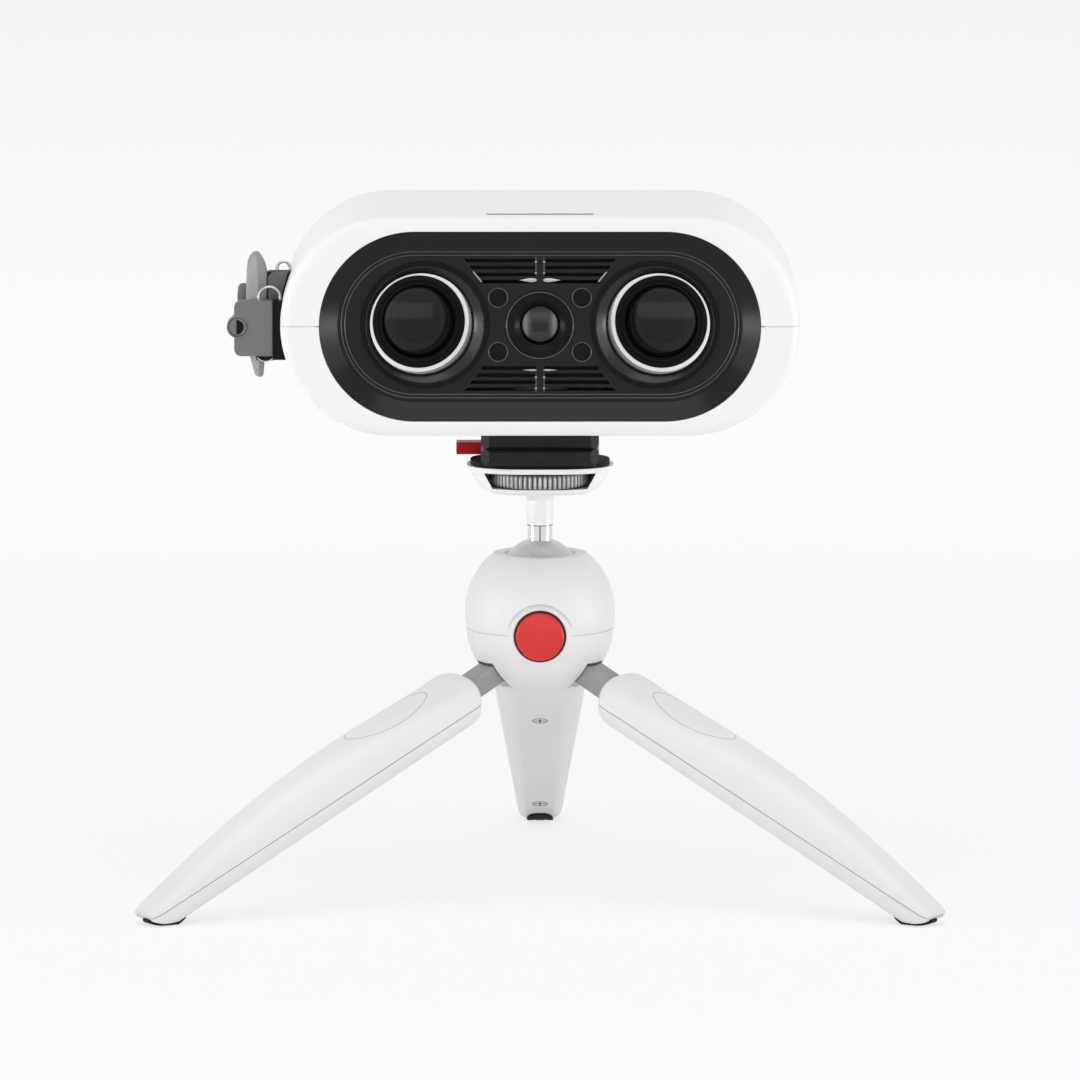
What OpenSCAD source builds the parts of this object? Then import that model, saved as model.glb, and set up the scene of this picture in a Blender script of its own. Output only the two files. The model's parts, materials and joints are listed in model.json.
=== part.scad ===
// Stereo photogrammetry camera on a three-legged table tripod.
// +Z is up, the lenses look along -Y, and the floor is the plane z = 0.
// The origin is the middle of the footprint; the tripod axis stands in front of it.

/* [Camera casing] */
// Width of the casing
casing_w = 160; // [150:1:172]
// Height of the casing
casing_h = 68.4; // [66:0.2:73]
// Depth of the casing, front to back
casing_d = 82; // [76:1:92]
// Wall of the casing
casing_wall = 2.4; // [2:0.1:3]
// Rounding of the casing's front edge
front_edge_r = 3.5; // [2:0.5:4.5]
// Rounding of the casing's rear edge
rear_edge_r = 10; // [6:0.5:13]
// Width of the slot behind the top front edge
slit_w = 33; // [24:1:40]
// Length of that slot, front to back
slit_d = 4; // [2:0.5:6]
// Number of air slots in the rear wall
rear_slots = 13; // [5:2:17]
// Height of one rear air slot
rear_slot_h = 12; // [6:1:16]

/* [Camera front] */
// Width of the white rim above and below the front opening
rim_w = 4.9; // [4.2:0.1:5.6]
// Half length of the straight middle of the opening
bezel_run = 38.6; // [37:0.2:42]
// Width of the sloping funnel, seen from the front
bezel_slope = 5.5; // [4.5:0.1:6.5]
// Depth of the sloping funnel
bezel_deep = 4.6; // [3:0.1:6]
// Thickness of the optics plate
optics_t = 2.2; // [1.8:0.1:3]
// Rows of vent slots above and below the projector
vent_rows = 4; // [3:1:5]
// Open share of the vented area
vent_share = 0.5; // [0.35:0.05:0.6]

/* [Lenses] */
// Distance between the two ring lights
lens_base = 74.8; // [73:0.2:78]
// Angle by which each lens looks inward
toe_in = 8; // [4:0.5:10]
// Outer radius of the ring light
ring_r = 15.6; // [15:0.1:16]
// Radial width of the ring light
ring_band = 1.5; // [1.2:0.1:2]
// Radius of the front lens
lens_r = 11.4; // [10:0.1:12]
// Thickness of the front lens at its rim
lens_t = 3; // [2:0.2:4]
// Depth of the flared rim in front of the ring light
horn_deep = 8; // [6:0.5:9]
// Flare of that rim, radius gained per depth
horn_flare = 0.29; // [0.2:0.01:0.34]
// Length of the barrel behind the ring light
tube_len = 14; // [11:0.5:16]
// Wall of the barrel
tube_wall = 1.6; // [1.2:0.1:2]
// Outer radius of the projector barrel
projector_r = 10.4; // [9.5:0.1:10.8]
// Radius of the projector lens
projector_lens_r = 6.2; // [5:0.1:7]
// Half spacing of the projector screws across
screw_dx = 12.9; // [12.7:0.1:13.2]
// Half spacing of the projector screws upward
screw_dz = 8.4; // [7.5:0.1:9.5]

/* [Camera inside] */
// Thickness of the optical bench
bench_t = 6; // [5:0.5:8]
// Thickness of a circuit board
board_t = 1.6; // [1.2:0.2:2]
// Length of the posts between the bench and the main board
post_len = 28; // [24:1:32]
// Radius of the casing screw columns
column_r = 4.2; // [3.8:0.1:5]

/* [Side clip] */
// Width of the grey block
block_w = 12; // [10:0.5:13]
// Height of the grey block
block_h = 17.2; // [15:0.2:19]
// Depth of the grey block
block_d = 5; // [4:0.2:6]
// Thickness of the base between the block and the casing
base_t = 2.6; // [2.2:0.1:3.5]
// Thickness of the lever
lever_t = 4.4; // [3.5:0.1:5]
// Height of the fin tip above the clip's middle
fin_up = 22; // [20:0.5:24]
// Drop of the tail tip below the clip's middle
tail_down = 14.6; // [12:0.2:16]
// Radius of the wire loops
wire_r = 0.45; // [0.35:0.05:0.6]

/* [Quick release] */
// Side of the square plate and clamp
release_w = 36.6; // [35:0.2:39]
// Height of the plate
plate_h = 6.9; // [6:0.1:8]
// Height of the clamp
clamp_h = 5.2; // [4.8:0.1:6]
// Length of the red tab outside the clamp
tab_out = 7.8; // [6:0.2:9]
// Depth of the red tab
tab_d = 6.8; // [5:0.2:8]
// Height of the red tab
tab_h = 3.8; // [3.2:0.1:4]
// Travel of the red tab
tab_travel = 2; // [1.5:0.1:2.2]

/* [Platform] */
// Half width of the platform's top
platform_a = 22.9; // [21.5:0.1:25]
// Half depth of the platform's top
platform_b = 15; // [14.5:0.1:17]
// Height of the platform
platform_h = 8.8; // [8.4:0.1:11]
// Thickness of the rubber pad
pad_t = 1.5; // [1:0.1:2.5]
// Radius of the thumb wheel
wheel_r = 15.4; // [14.5:0.1:16.4]
// Thickness of the thumb wheel
wheel_t = 4.6; // [4:0.1:5]
// Number of grip ribs on the thumb wheel
wheel_ribs = 60; // [40:2:72]
// Radius of the camera screw
screw_r = 3.1; // [2.8:0.05:3.3]
// Radius of the neck
neck_r = 4.2; // [4:0.1:5]
// Length of the neck
neck_len = 10; // [8:0.5:14]
// Radius of the chrome stud
stud_r = 3.9; // [3.4:0.1:4]
// Length of stud that shows above the ball
stud_len = 5; // [4:0.2:7]

/* [Tripod body] */
// Largest radius of the body
body_r = 23; // [22.5:0.1:25]
// Radius of the ball
ball_r = 13; // [12:0.1:13.4]
// Height of the ball centre above the body's waist
ball_up = 14; // [13.5:0.1:15]
// Height of the body's top above the ball centre
collar_up = 8.3; // [8:0.1:8.8]
// Height of the body's waist above the leg pivots
waist_up = 11.8; // [11.4:0.1:13]
// Depth of the lower body below the waist
lower_deep = 20; // [19:0.2:21]
// Radius of the lock button
button_r = 7.7; // [7:0.1:8]
// Travel of the lock button
button_travel = 2; // [1.5:0.1:2.2]

/* [Legs] */
// Angle of an open leg from the vertical
leg_spread = 62; // [58:0.5:65]
// Length of a leg from its root to its tip
leg_len = 129; // [118:1:142]
// Distance from the pivot to the leg's root
leg_start = 16; // [14:0.5:18]
// Width of a leg at its root
leg_root_w = 29.6; // [26:0.2:32]
// Width of a leg at its tip
leg_tip_w = 14; // [12:0.2:16]
// Height of the outer shell above the seam
leg_crown = 10.6; // [9:0.2:13]
// Depth of the inner cover below the seam
leg_cover = 6.2; // [5:0.2:6.6]
// Distance of the leg pivots from the tripod axis
pivot_r = 13; // [12.6:0.1:14]
// Radius of a hinge pin
pin_r = 1.5; // [1.2:0.1:1.8]
// Width of a hinge arm
arm_w = 9; // [8:0.2:9.6]
// Height of a hinge arm
arm_h = 6.6; // [5.8:0.2:7.2]
// Thickness of a rubber foot
foot_t = 1.9; // [1.4:0.1:2.5]
// Length of the oval thumb pad
grip_len = 30; // [24:1:36]
// Width of the oval thumb pad
grip_w = 16; // [12:0.5:18]

/* [Fits] */
// Gap along a parting line
seam = 0.3; // [0.2:0.05:0.4]
// Clearance round a piece that is let into another
fit = 0.15; // [0.1:0.05:0.25]
// Running clearance of a shaft or pin
run = 0.04; // [0.02:0.01:0.08]

/* [Hidden] */
$fn = 64;
big = 400;

// Legs: u runs down the leg from its pivot, n points up out of the leg
LEFT = 210;
RIGHT = 330;
REAR = 90;
leg_end = leg_start + leg_len;
sole_rise = 3.6;
pivot_z = leg_end * cos(leg_spread) + sole_rise;
seam_n = -1;
tip_h = 1.8;
root_round_w = 5;
tip_round = 8;
root_round_n = 7;
root_lean = 0.5;
root_lean_len = 12;
root_drop = 0.27;
root_drop_to = 0.43;
grip_in = 27.5;
grip_u = leg_start + grip_in;
grip_deep = 3;
arm_in = 12;
pin_len = 16;
sole_flat = 9;
sole_in = 9;
sole_top = 9;
sole_curve = 14;
toe_trim = 1.2;
corner_in = 3;
corner_half = 5;
tip_blunt = 1.5;
leg_screw_up = 26;
leg_screw_down = 22;
leg_screw_r = 2.2;
// Reach of the feet fixes where the tripod axis stands
foot_reach = pivot_r + leg_end * sin(leg_spread) - toe_trim;
axis_y = -(foot_reach - (foot_reach - corner_in) * cos(60) - corner_half * sin(60)) / 2;

// Tripod body
waist_z = pivot_z + waist_up;
ball_z = waist_z + ball_up;
collar_z = ball_z + collar_up;
seam_z = waist_z - 1;
lower_z = waist_z - lower_deep;
upper_up = 4;
land_deep = 2.4;
land_y = body_r - land_deep;
lip_in = 0.7;
lip_up = collar_up - lip_in;
bore_wall = 1.4;
button_floor = ball_r + bore_wall;
button_slack = 0.4;
button_skirt = land_y - button_floor - button_travel - button_slack;
wedge_in = 5;
wedge_w = 7;
spring_r = 0.5;
hub_r = arm_h / 2 + 0.6;
seat_deep = 5.1;
wedge_top = seam_z - seat_deep;
wedge_t = 2.2;
seat_stem_r = 8;

// Platform and quick release
stud_z = ball_z + ball_r - 0.5 + stud_len;
platform_z = stud_z + neck_len;
platform_top = platform_z + platform_h;
wheel_z = platform_z + (platform_h - wheel_t) / 2 + 0.2;
pad_top = platform_top + pad_t;
clamp_top = pad_top + clamp_h;
plate_z = clamp_top + 0.1;
tongue_w = 24;
tongue_h = 2.2;
tab_y = 9.4;
tab_lift = 0.5;
tab_in = 2.1;

// Camera
casing_z = plate_z + plate_h;
cam_z = casing_z + casing_h / 2;
front_y = -casing_d / 2;
bezel_in = 0.4;
bezel_r = casing_h / 2 - rim_w;
bezel_y = front_y + bezel_in;
optics_y = bezel_y + bezel_deep;
bezel_lip = 1.2;
plate_r = bezel_r - bezel_slope - run;
ring_y = optics_y + horn_deep;
ring_t = 2;
tube_r = ring_r + tube_wall;
rim_proud = 0.6;
vent_low = projector_r + 3;
vent_half = 18.2;
vent_grow = 0.79;
vent_web = 1.4;
vent_step = (plate_r - 3.8 - vent_low) / (vent_rows - 1);
vent_slot = vent_step * vent_share;
bench_back = 6;
bench_y = ring_y + bench_back;
bench_w = 116;
bench_h = 40;
bench_foot_w = 12;
bench_foot_x = 30;
board_w = 92;
board_h = 42;
sensor_w = 28;
post_x = 15;
post_z = 16;
board_y = bench_y + bench_t + post_len;
column_in = 24;
column_x = casing_w / 2 - column_in;
column_y = [4, 27];
slit_in = 0.6;
slit_deep = 1.2;
rear_slot_w = 1.8;
rear_slot_pitch = 5;
rear_slot_up = 5;
bush_r = 6;
bush_boss_r = 9;
bush_h = 9;

// Side clip, seen from the front, measured from its own middle
clip_y = -15;
clip_drop = 3.2;
fin_in = 6;
fin_root = 7;
fin_lean = 1;
hip_in = 5.4;
hip_down = 5.6;
tail_in = 4.4;
ear_h = 9.4;
clip_z = cam_z - clip_drop;
base_x = -casing_w / 2 - base_t;
lever_x = base_x - block_w + 1.2;
lever_hub = 2.9;
clip_pin_r = 1.2;
cheek_t = 1.6;

// Power curve between 0 and 1 that rounds the root of a leg
function rounding(x) = pow(1 - pow(1 - min(1, max(0, x)), 3), 1 / 3);
function swell(c, p) = sign(c) * pow(abs(c), 2 / p);
// Oval with half sizes a and b, a little squarer than an ellipse
function oval(a, b, p, n) = [for (k = [0 : n - 1]) let (t = 360 * k / n)
    [a * swell(cos(t), p), b * swell(sin(t), p)]];
function lift(pts, z) = [for (q = pts) [q[0], q[1], z]];

// Solid through a row of rings that have the same number of points
module skin(rings) {
    m = len(rings);
    n = len(rings[0]);
    sides = [for (i = [0 : m - 2], k = [0 : n - 1])
        let (a = i * n + k, b = i * n + (k + 1) % n)
        each [[a, b + n, b], [a, a + n, b + n]]];
    last = (m - 1) * n;
    ends = [for (k = [1 : n - 2]) each [[0, k, k + 1], [last, last + k + 1, last + k]]];
    polyhedron([for (r = rings) each r], concat(sides, ends));
}

// Half profile of a casing: radius a, from y0 to y1, with rounded front and rear edges
module edge_profile(a, y0, y1, r0, r1) {
    translate([0, y0]) square([a - max(r0, r1), y1 - y0]);
    translate([0, y0 + r0]) square([a, y1 - y0 - r0 - r1]);
    translate([0, y0]) square([a - r0, y1 - y0 - r1]);
    translate([a - r0, y0 + r0]) intersection() {
        circle(r0);
        translate([0, -r0]) square(r0);
    }
    translate([a - r1, y1 - r1]) intersection() {
        circle(r1);
        square(r1);
    }
}

// Sweeps a half profile round a racetrack whose straight part is 2 * straight long
module racetrack(straight) {
    rotate([-90, 0, 0]) {
        for (s = [0, 180])
            rotate([0, 0, s]) translate([straight, 0, 0]) rotate([0, 0, -90])
                rotate_extrude(angle = 180) children();
        for (m = [0, 1])
            mirror([0, m, 0]) translate([-straight, 0, 0]) rotate([90, 0, 90])
                linear_extrude(2 * straight) children();
    }
}

module casing_solid(inset) {
    translate([0, 0, cam_z]) racetrack((casing_w - casing_h) / 2)
        edge_profile(casing_h / 2 - inset, front_y + inset, -front_y - inset,
            max(0.6, front_edge_r - inset), max(0.6, rear_edge_r - inset));
}

// Racetrack prism between two depths
module racetrack_plate(straight, r, y0, y1) {
    translate([0, 0, cam_z]) racetrack(straight) translate([0, y0]) square([r, y1 - y0]);
}

// Places a shape on a lens axis: +Z is the way the lens looks, z = 0 is the ring light's face
module lens_axis(side) {
    translate([side * lens_base / 2, ring_y, cam_z]) rotate([90, 0, -side * toe_in]) children();
}

module camera_screw_at() {
    for (x = [-column_x, column_x], y = column_y) translate([x, y, 0]) children();
}

module projector_screw_at() {
    for (x = [-screw_dx, screw_dx], z = [-screw_dz, screw_dz])
        translate([x, 0, cam_z + z]) rotate([90, 0, 0]) children();
}

// Half of the casing with its screw columns; the lower half carries the bush and the bench
module casing_half(up) {
    difference() {
        intersection() {
            union() {
                difference() {
                    casing_solid(0);
                    casing_solid(casing_wall);
                }
                intersection() {
                    casing_solid(casing_wall / 2);
                    union() {
                        camera_screw_at() cylinder(r = column_r, h = big);
                        if (!up) {
                            translate([0, 0, casing_z])
                                cylinder(r = bush_boss_r, h = bush_h + casing_wall);
                            for (x = [-bench_foot_x, bench_foot_x])
                                translate([x - bench_foot_w / 2, bench_y, casing_z])
                                    cube([bench_foot_w, bench_t, casing_h / 2 - bench_h / 2]);
                        }
                    }
                }
            }
            translate([-big / 2, -big / 2, up ? cam_z + seam / 2 : cam_z - seam / 2 - big])
                cube(big);
        }
        racetrack_plate(bezel_run, bezel_r + fit, front_y - 1, front_y + casing_wall + 1);
        if (up) {
            camera_screw_at() translate([0, 0, cam_z - 1]) cylinder(r = 1.25 + run, h = 13);
            translate([-slit_w / 2, front_y + front_edge_r + slit_in, casing_z + casing_h - slit_deep])
                cube([slit_w, slit_d, slit_deep + 1]);
            for (k = [0 : rear_slots - 1])
                translate([(k - (rear_slots - 1) / 2) * rear_slot_pitch - rear_slot_w / 2,
                    -front_y - casing_wall - 1, cam_z + rear_slot_up])
                    cube([rear_slot_w, casing_wall + 2, rear_slot_h]);
        } else {
            camera_screw_at() translate([0, 0, casing_z - 1]) {
                cylinder(r = 1.5, h = big);
                cylinder(r = 3.2, h = 8);
            }
            translate([0, 0, casing_z - 1]) cylinder(r = bush_r + run, h = bush_h + 1);
        }
    }
}

module upper_casing() color("white") casing_half(true);
module lower_casing() color("white") casing_half(false);

// Black funnel that lines the front opening, with a flange behind the front wall
module front_bezel() color("#141416") translate([0, 0, cam_z]) racetrack(bezel_run) {
    inner = bezel_r - bezel_slope;
    back = optics_y + optics_t;
    polygon([[bezel_r, bezel_y], [inner, optics_y - 0.6], [inner, back], [bezel_r + bezel_lip, back],
        [bezel_r + bezel_lip, front_y + casing_wall], [bezel_r, front_y + casing_wall]]);
}

// Vent slots in the hour-glass space between the two lens rims
module vent_slots() {
    for (s = [-1, 1], h = [-1, 1], k = [0 : vent_rows - 1]) {
        z = vent_low + k * vent_step;
        half = vent_half + vent_grow * k * vent_step;
        translate([h > 0 ? vent_web : -half, optics_y - 1, cam_z + s * z - vent_slot / 2])
            cube([half - vent_web, optics_t + 2, vent_slot]);
    }
}

module lens_barrel_solid(side, grow) {
    difference() {
        lens_axis(side) {
            translate([0, 0, -tube_len]) cylinder(r = tube_r + grow, h = tube_len);
            cylinder(r1 = tube_r + grow, r2 = tube_r + grow + horn_flare * (horn_deep + 5),
                h = horn_deep + 5);
        }
        translate([-big / 2, optics_y - rim_proud - grow * 4 - big, cam_z - big / 2]) cube(big);
    }
}

// Flat black plate that carries the lens rims and the projector
module optics_plate() color("#1c1c1f") difference() {
    racetrack_plate(bezel_run, plate_r, optics_y, optics_y + optics_t);
    for (side = [-1, 1]) lens_barrel_solid(side, fit);
    translate([0, optics_y - 1, cam_z]) rotate([-90, 0, 0]) cylinder(r = projector_r + run, h = 9);
    translate([0, optics_y + 6, 0]) projector_screw_at() cylinder(r = 1.6, h = 12);
    translate([0, optics_y + 0.9, 0]) projector_screw_at() cylinder(r = 2.8, h = 4);
    vent_slots();
}

// Barrel with a flared front rim, a groove for the ring light and a seat for the lens
module lens_barrel(side) color("#101012") difference() {
    lens_barrel_solid(side, 0);
    lens_axis(side) {
        cylinder(r1 = ring_r, r2 = ring_r + horn_flare * (horn_deep + 6), h = horn_deep + 6);
        translate([0, 0, -ring_t]) difference() {
            cylinder(r = ring_r + run, h = ring_t + 1);
            translate([0, 0, -1]) cylinder(r = ring_r - ring_band - run, h = ring_t + 1);
        }
        translate([0, 0, -lens_t - 1]) cylinder(r = lens_r + run, h = lens_t + 2);
        translate([0, 0, -tube_len - 1]) cylinder(r = lens_r - 1.2, h = tube_len);
    }
}
module left_lens_barrel() lens_barrel(-1);
module right_lens_barrel() lens_barrel(1);

module ring_light(side) color("white") lens_axis(side) translate([0, 0, -ring_t]) difference() {
    cylinder(r = ring_r, h = ring_t - 0.2);
    translate([0, 0, -1]) cylinder(r = ring_r - ring_band, h = ring_t + 2);
}
module left_ring_light() ring_light(-1);
module right_ring_light() ring_light(1);

// Front lens, domed outward
module lens_glass(r, t, dome) rotate_extrude() intersection() {
    square([r, t + dome]);
    curve = (r * r + dome * dome) / (2 * dome);
    translate([0, t + dome - curve]) circle(curve);
}
module front_lens(side) color("#20242c") lens_axis(side) translate([0, 0, -lens_t - 1])
    lens_glass(lens_r, lens_t - 1.4, 2);
module left_lens() front_lens(-1);
module right_lens() front_lens(1);

module projector_axis() translate([0, optics_y, cam_z]) rotate([90, 0, 0]) children();

// Middle barrel of the pattern projector
module projector_barrel() color("#17171a") projector_axis() rotate_extrude() polygon([
    [projector_lens_r - 1, -bench_y + optics_y - bench_t], [projector_r - 1, -bench_y + optics_y - bench_t],
    [projector_r - 1, -optics_t - 1], [projector_r, -optics_t - 1],
    [projector_r, 1.0], [projector_r - 0.5, 1.5],
    [projector_lens_r + 1.6, 1.5], [projector_lens_r + run, 0.2], [projector_lens_r + run, -2.6],
    [projector_lens_r - 1, -2.6]]);
module projector_lens() color("#283040") projector_axis() translate([0, 0, -2.6])
    lens_glass(projector_lens_r, 1.2, 0.9);

// Small black screws that hold the projector's corner of the plate
module projector_screws() color("#2a2a2c") translate([0, optics_y + 0.9, 0]) projector_screw_at() {
    cylinder(r = 2.6, h = 0.7);
    translate([0, 0, -bench_y + optics_y + 0.9]) cylinder(r = 1.5, h = bench_y - optics_y - 0.9);
}

// Machined bar with a bored seat for each barrel, and posts for the main board
module optical_bench() color("silver") difference() {
    union() {
        translate([-bench_w / 2, bench_y, cam_z - bench_h / 2]) cube([bench_w, bench_t, bench_h]);
        for (x = [-post_x, post_x], z = [-post_z, post_z])
            translate([x, bench_y + bench_t, cam_z + z]) rotate([-90, 0, 0]) cylinder(r = 3, h = post_len);
    }
    for (side = [-1, 1]) lens_axis(side) translate([0, 0, -tube_len - 20])
        cylinder(r = tube_r + run, h = tube_len + 20);
    translate([0, bench_y - 1, cam_z]) rotate([-90, 0, 0])
        cylinder(r = projector_r - 1 + run, h = bench_t + 2);
}

// One board behind each barrel
module sensor_boards() color("darkgreen") for (side = [-1, 1])
    lens_axis(side) translate([-sensor_w / 2, -sensor_w / 2, -tube_len - board_t])
        cube([sensor_w, sensor_w, board_t]);

module main_board() color("darkgreen") translate([-board_w / 2, board_y, cam_z - board_h / 2])
    cube([board_w, board_t, board_h]);

module casing_screws() color("dimgray") camera_screw_at() translate([0, 0, casing_z + 7]) {
    translate([0, 0, -2.2]) cylinder(r = 3, h = 2.2);
    cylinder(r = 1.25, h = casing_h / 2 - 7 + 10);
}

module tripod_bush() color("goldenrod") translate([0, 0, casing_z]) difference() {
    cylinder(r = bush_r, h = bush_h);
    translate([0, 0, -1]) cylinder(r = screw_r + run, h = bush_h - 1);
}

// Saddle that fits the rounded end of the casing, with an upper ear behind the block
module clip_base() color("#4a4c50") difference() {
    union() {
        translate([base_x, clip_y - block_d - 1, clip_z - block_h / 2 - 1])
            cube([12, block_d + 1 + lever_t + 2 * seam + cheek_t, block_h + 1]);
        translate([base_x - 1.4, clip_y + 0.4, clip_z + block_h / 2 - 1]) cube([12, lever_t + 1.6, ear_h]);
        translate([lever_x, clip_y + lever_t + 2 * seam, clip_z + 0.5]) rotate([-90, 0, 0]) {
            cylinder(r = lever_hub, h = cheek_t);
            translate([0, -lever_hub, 0]) cube([block_w, 2 * lever_hub, cheek_t]);
        }
    }
    translate([lever_x, clip_y, clip_z + 0.5]) rotate([90, 0, 0])
        cylinder(r = clip_pin_r + run, h = big, center = true);
    translate([-(casing_w - casing_h) / 2, 0, cam_z]) rotate([90, 0, 0])
        cylinder(r = casing_h / 2 + run, h = big, center = true, $fn = 128);
}

// Rounded block in front of the lever, notched for the lever's hub
module clip_block() color("#8c8e92") difference() {
    translate([base_x, clip_y, clip_z]) rotate([90, 0, 0]) linear_extrude(block_d) hull()
        for (z = [-1, 1]) {
            translate([-block_w + 2.2, z * (block_h / 2 - 2.2)]) circle(2.2, $fn = 32);
            translate([-1, z * (block_h / 2 - 1)]) square(2, center = true);
        }
    translate([lever_x, clip_y, clip_z + 0.5]) rotate([90, 0, 0])
        cylinder(r = lever_hub + seam, h = big, center = true);
}

// Rocking lever: a tall fin, a short tail and a hub round the pin
module clip_lever() color("#9b9da1") difference() {
    union() {
        translate([0, clip_y + lever_t + seam, clip_z]) rotate([90, 0, 0]) linear_extrude(lever_t) {
            hull() {
                translate([base_x - fin_in, fin_root]) circle(3, $fn = 32);
                translate([base_x - fin_in + fin_lean, fin_up]) circle(1.8, $fn = 32);
            }
            hull() {
                translate([base_x - fin_in, fin_root]) circle(2.8, $fn = 32);
                translate([base_x - hip_in, -hip_down]) circle(2.6, $fn = 32);
                translate([lever_x, 0.5]) circle(lever_hub + 0.5, $fn = 32);
            }
            hull() {
                translate([base_x - hip_in, -hip_down]) circle(2.4, $fn = 32);
                translate([base_x - tail_in, -tail_down]) circle(1.3, $fn = 32);
            }
        }
        translate([lever_x, clip_y + 1, clip_z + 0.5]) rotate([90, 0, 0])
            cylinder(r = lever_hub, h = block_d + 1);
    }
    translate([lever_x, clip_y, clip_z + 0.5]) rotate([90, 0, 0])
        cylinder(r = clip_pin_r + run, h = big, center = true);
}

module clip_pin() color("dimgray") translate([lever_x, clip_y - block_d + 0.8, clip_z + 0.5])
    rotate([-90, 0, 0]) cylinder(r = clip_pin_r, h = block_d - 0.8 + lever_t + 2 * seam + cheek_t - 0.2);

// Bent wire: two legs joined by a half ring
module wire_arch(span, left_leg, right_leg) {
    translate([-span / 2, 0, -left_leg]) cylinder(r = wire_r, h = left_leg, $fn = 24);
    translate([span / 2, 0, -right_leg]) cylinder(r = wire_r, h = right_leg, $fn = 24);
    rotate([90, 0, 0]) rotate_extrude(angle = 180) translate([span / 2, 0]) circle(wire_r, $fn = 24);
}
module clip_wires() color("silver") {
    translate([base_x - 1.1, clip_y - 3, clip_z + block_h / 2 + 0.9]) wire_arch(6.6, 0.9, 0.9);
    translate([base_x + 3.2, clip_y + 3, clip_z + block_h / 2 + ear_h]) wire_arch(4, 1, 0.6);
}

// Block with a bevel along its top and bottom edges and cut corners
module bevel_block(w, h, top, bottom, corner) {
    module side_view() polygon([[-w / 2 + bottom, 0], [w / 2 - bottom, 0], [w / 2, bottom],
        [w / 2, h - top], [w / 2 - top, h], [-w / 2 + top, h], [-w / 2, h - top], [-w / 2, bottom]]);
    intersection() {
        rotate([90, 0, 0]) linear_extrude(w, center = true) side_view();
        rotate([90, 0, 90]) linear_extrude(w, center = true) side_view();
        linear_extrude(h) polygon([for (q = [[1, 1], [-1, 1], [-1, -1], [1, -1]], e = [0, 1])
            let (near = (q[0] * q[1] > 0) == (e == 0))
            [q[0] * (w / 2 - (near ? 0 : corner)), q[1] * (w / 2 - (near ? corner : 0))]]);
    }
}

// Plate on the camera, with a tongue that drops into the clamp
module release_plate() color("#19191b") difference() {
    union() {
        translate([0, 0, plate_z]) bevel_block(release_w, plate_h, 0.4, 0.9, 2.6);
        translate([-tongue_w / 2, -tongue_w / 2, plate_z - tongue_h])
            cube([tongue_w, tongue_w, tongue_h + 1]);
    }
    translate([0, 0, plate_z - tongue_h - 1]) {
        cylinder(r = screw_r + fit, h = big);
        cylinder(r = 6.5, h = 5);
    }
}

// Screw that holds the plate to the camera
module plate_screw() color("dimgray") translate([0, 0, plate_z - tongue_h + 4]) {
    translate([0, 0, -3]) cylinder(r = 6.2, h = 3);
    cylinder(r = screw_r, h = casing_z - plate_z + tongue_h - 4 + bush_h - 3);
}

module tab_box(x0, x1, grow, below) translate([x0, tab_y - tab_d / 2 - grow, pad_top + tab_lift - below])
    cube([x1 - x0, tab_d + 2 * grow, tab_h + grow + below]);

// Lower half of the quick release, recessed for the tongue and the red tab
module release_clamp() color("#19191b") difference() {
    translate([0, 0, pad_top]) bevel_block(release_w, clamp_h, 0.9, 1.4, 2.6);
    translate([-tongue_w / 2 - fit, -tongue_w / 2 - fit, clamp_top - tongue_h - fit])
        cube([tongue_w + 2 * fit, tongue_w + 2 * fit, big]);
    translate([0, 0, pad_top - 1]) cylinder(r = screw_r + run, h = big);
    tab_box(-release_w, -release_w / 2 + tab_in + tab_travel + 1.4, fit, tab_lift + 1);
}

module release_tab() color("#a01820") tab_box(-release_w / 2 - tab_out, -release_w / 2 + tab_in, 0, 0);

// Open coil of n turns along +Z
module coil(r, h, turns) {
    steps = turns * 12;
    skin([for (i = [0 : steps]) let (a = 360 * i / 12, z = spring_r + (h - 2 * spring_r) * i / steps)
        [for (k = [0 : 5]) let (c = r + spring_r * cos(60 * k))
            [c * cos(a), c * sin(a), z + spring_r * sin(60 * k)]]]);
}
module release_spring() color("silver")
    translate([-release_w / 2 + tab_in, tab_y, pad_top + tab_lift + tab_h / 2]) rotate([0, 90, 0])
        coil(1.1, tab_travel + 1.4, 2);

// Boat-shaped platform with a through window for the thumb wheel
module platform() color("white") difference() {
    skin([for (q = [[0, 0.66], [0.1, 0.76], [0.26, 0.83], [0.55, 0.91], [0.85, 0.98], [1, 1]])
        lift(oval(platform_a * q[1], platform_b * q[1], 2.7, 48), platform_z + platform_h * q[0])]);
    translate([0, 0, wheel_z - seam]) cylinder(r = wheel_r + seam, h = wheel_t + 2 * seam);
    translate([0, 0, wheel_z]) rotate([90, 0, 0]) linear_extrude(big, center = true)
        polygon([[-wheel_r + 0.6, -seam], [wheel_r - 0.6, -seam],
            [wheel_r + 2, wheel_t + seam], [-wheel_r - 2, wheel_t + seam]]);
    translate([0, 0, wheel_z]) cylinder(r = screw_r + fit, h = big);
    translate([0, 0, platform_z - 1]) cylinder(r = 2.6 + run, h = 2.2);
}

module platform_pad() color("#202022") translate([0, 0, platform_top]) difference() {
    linear_extrude(pad_t) polygon(oval(platform_a - 1.2, platform_b - 1, 2.7, 48));
    translate([0, 0, -1]) cylinder(r = screw_r + fit, h = pad_t + 2);
}

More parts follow.
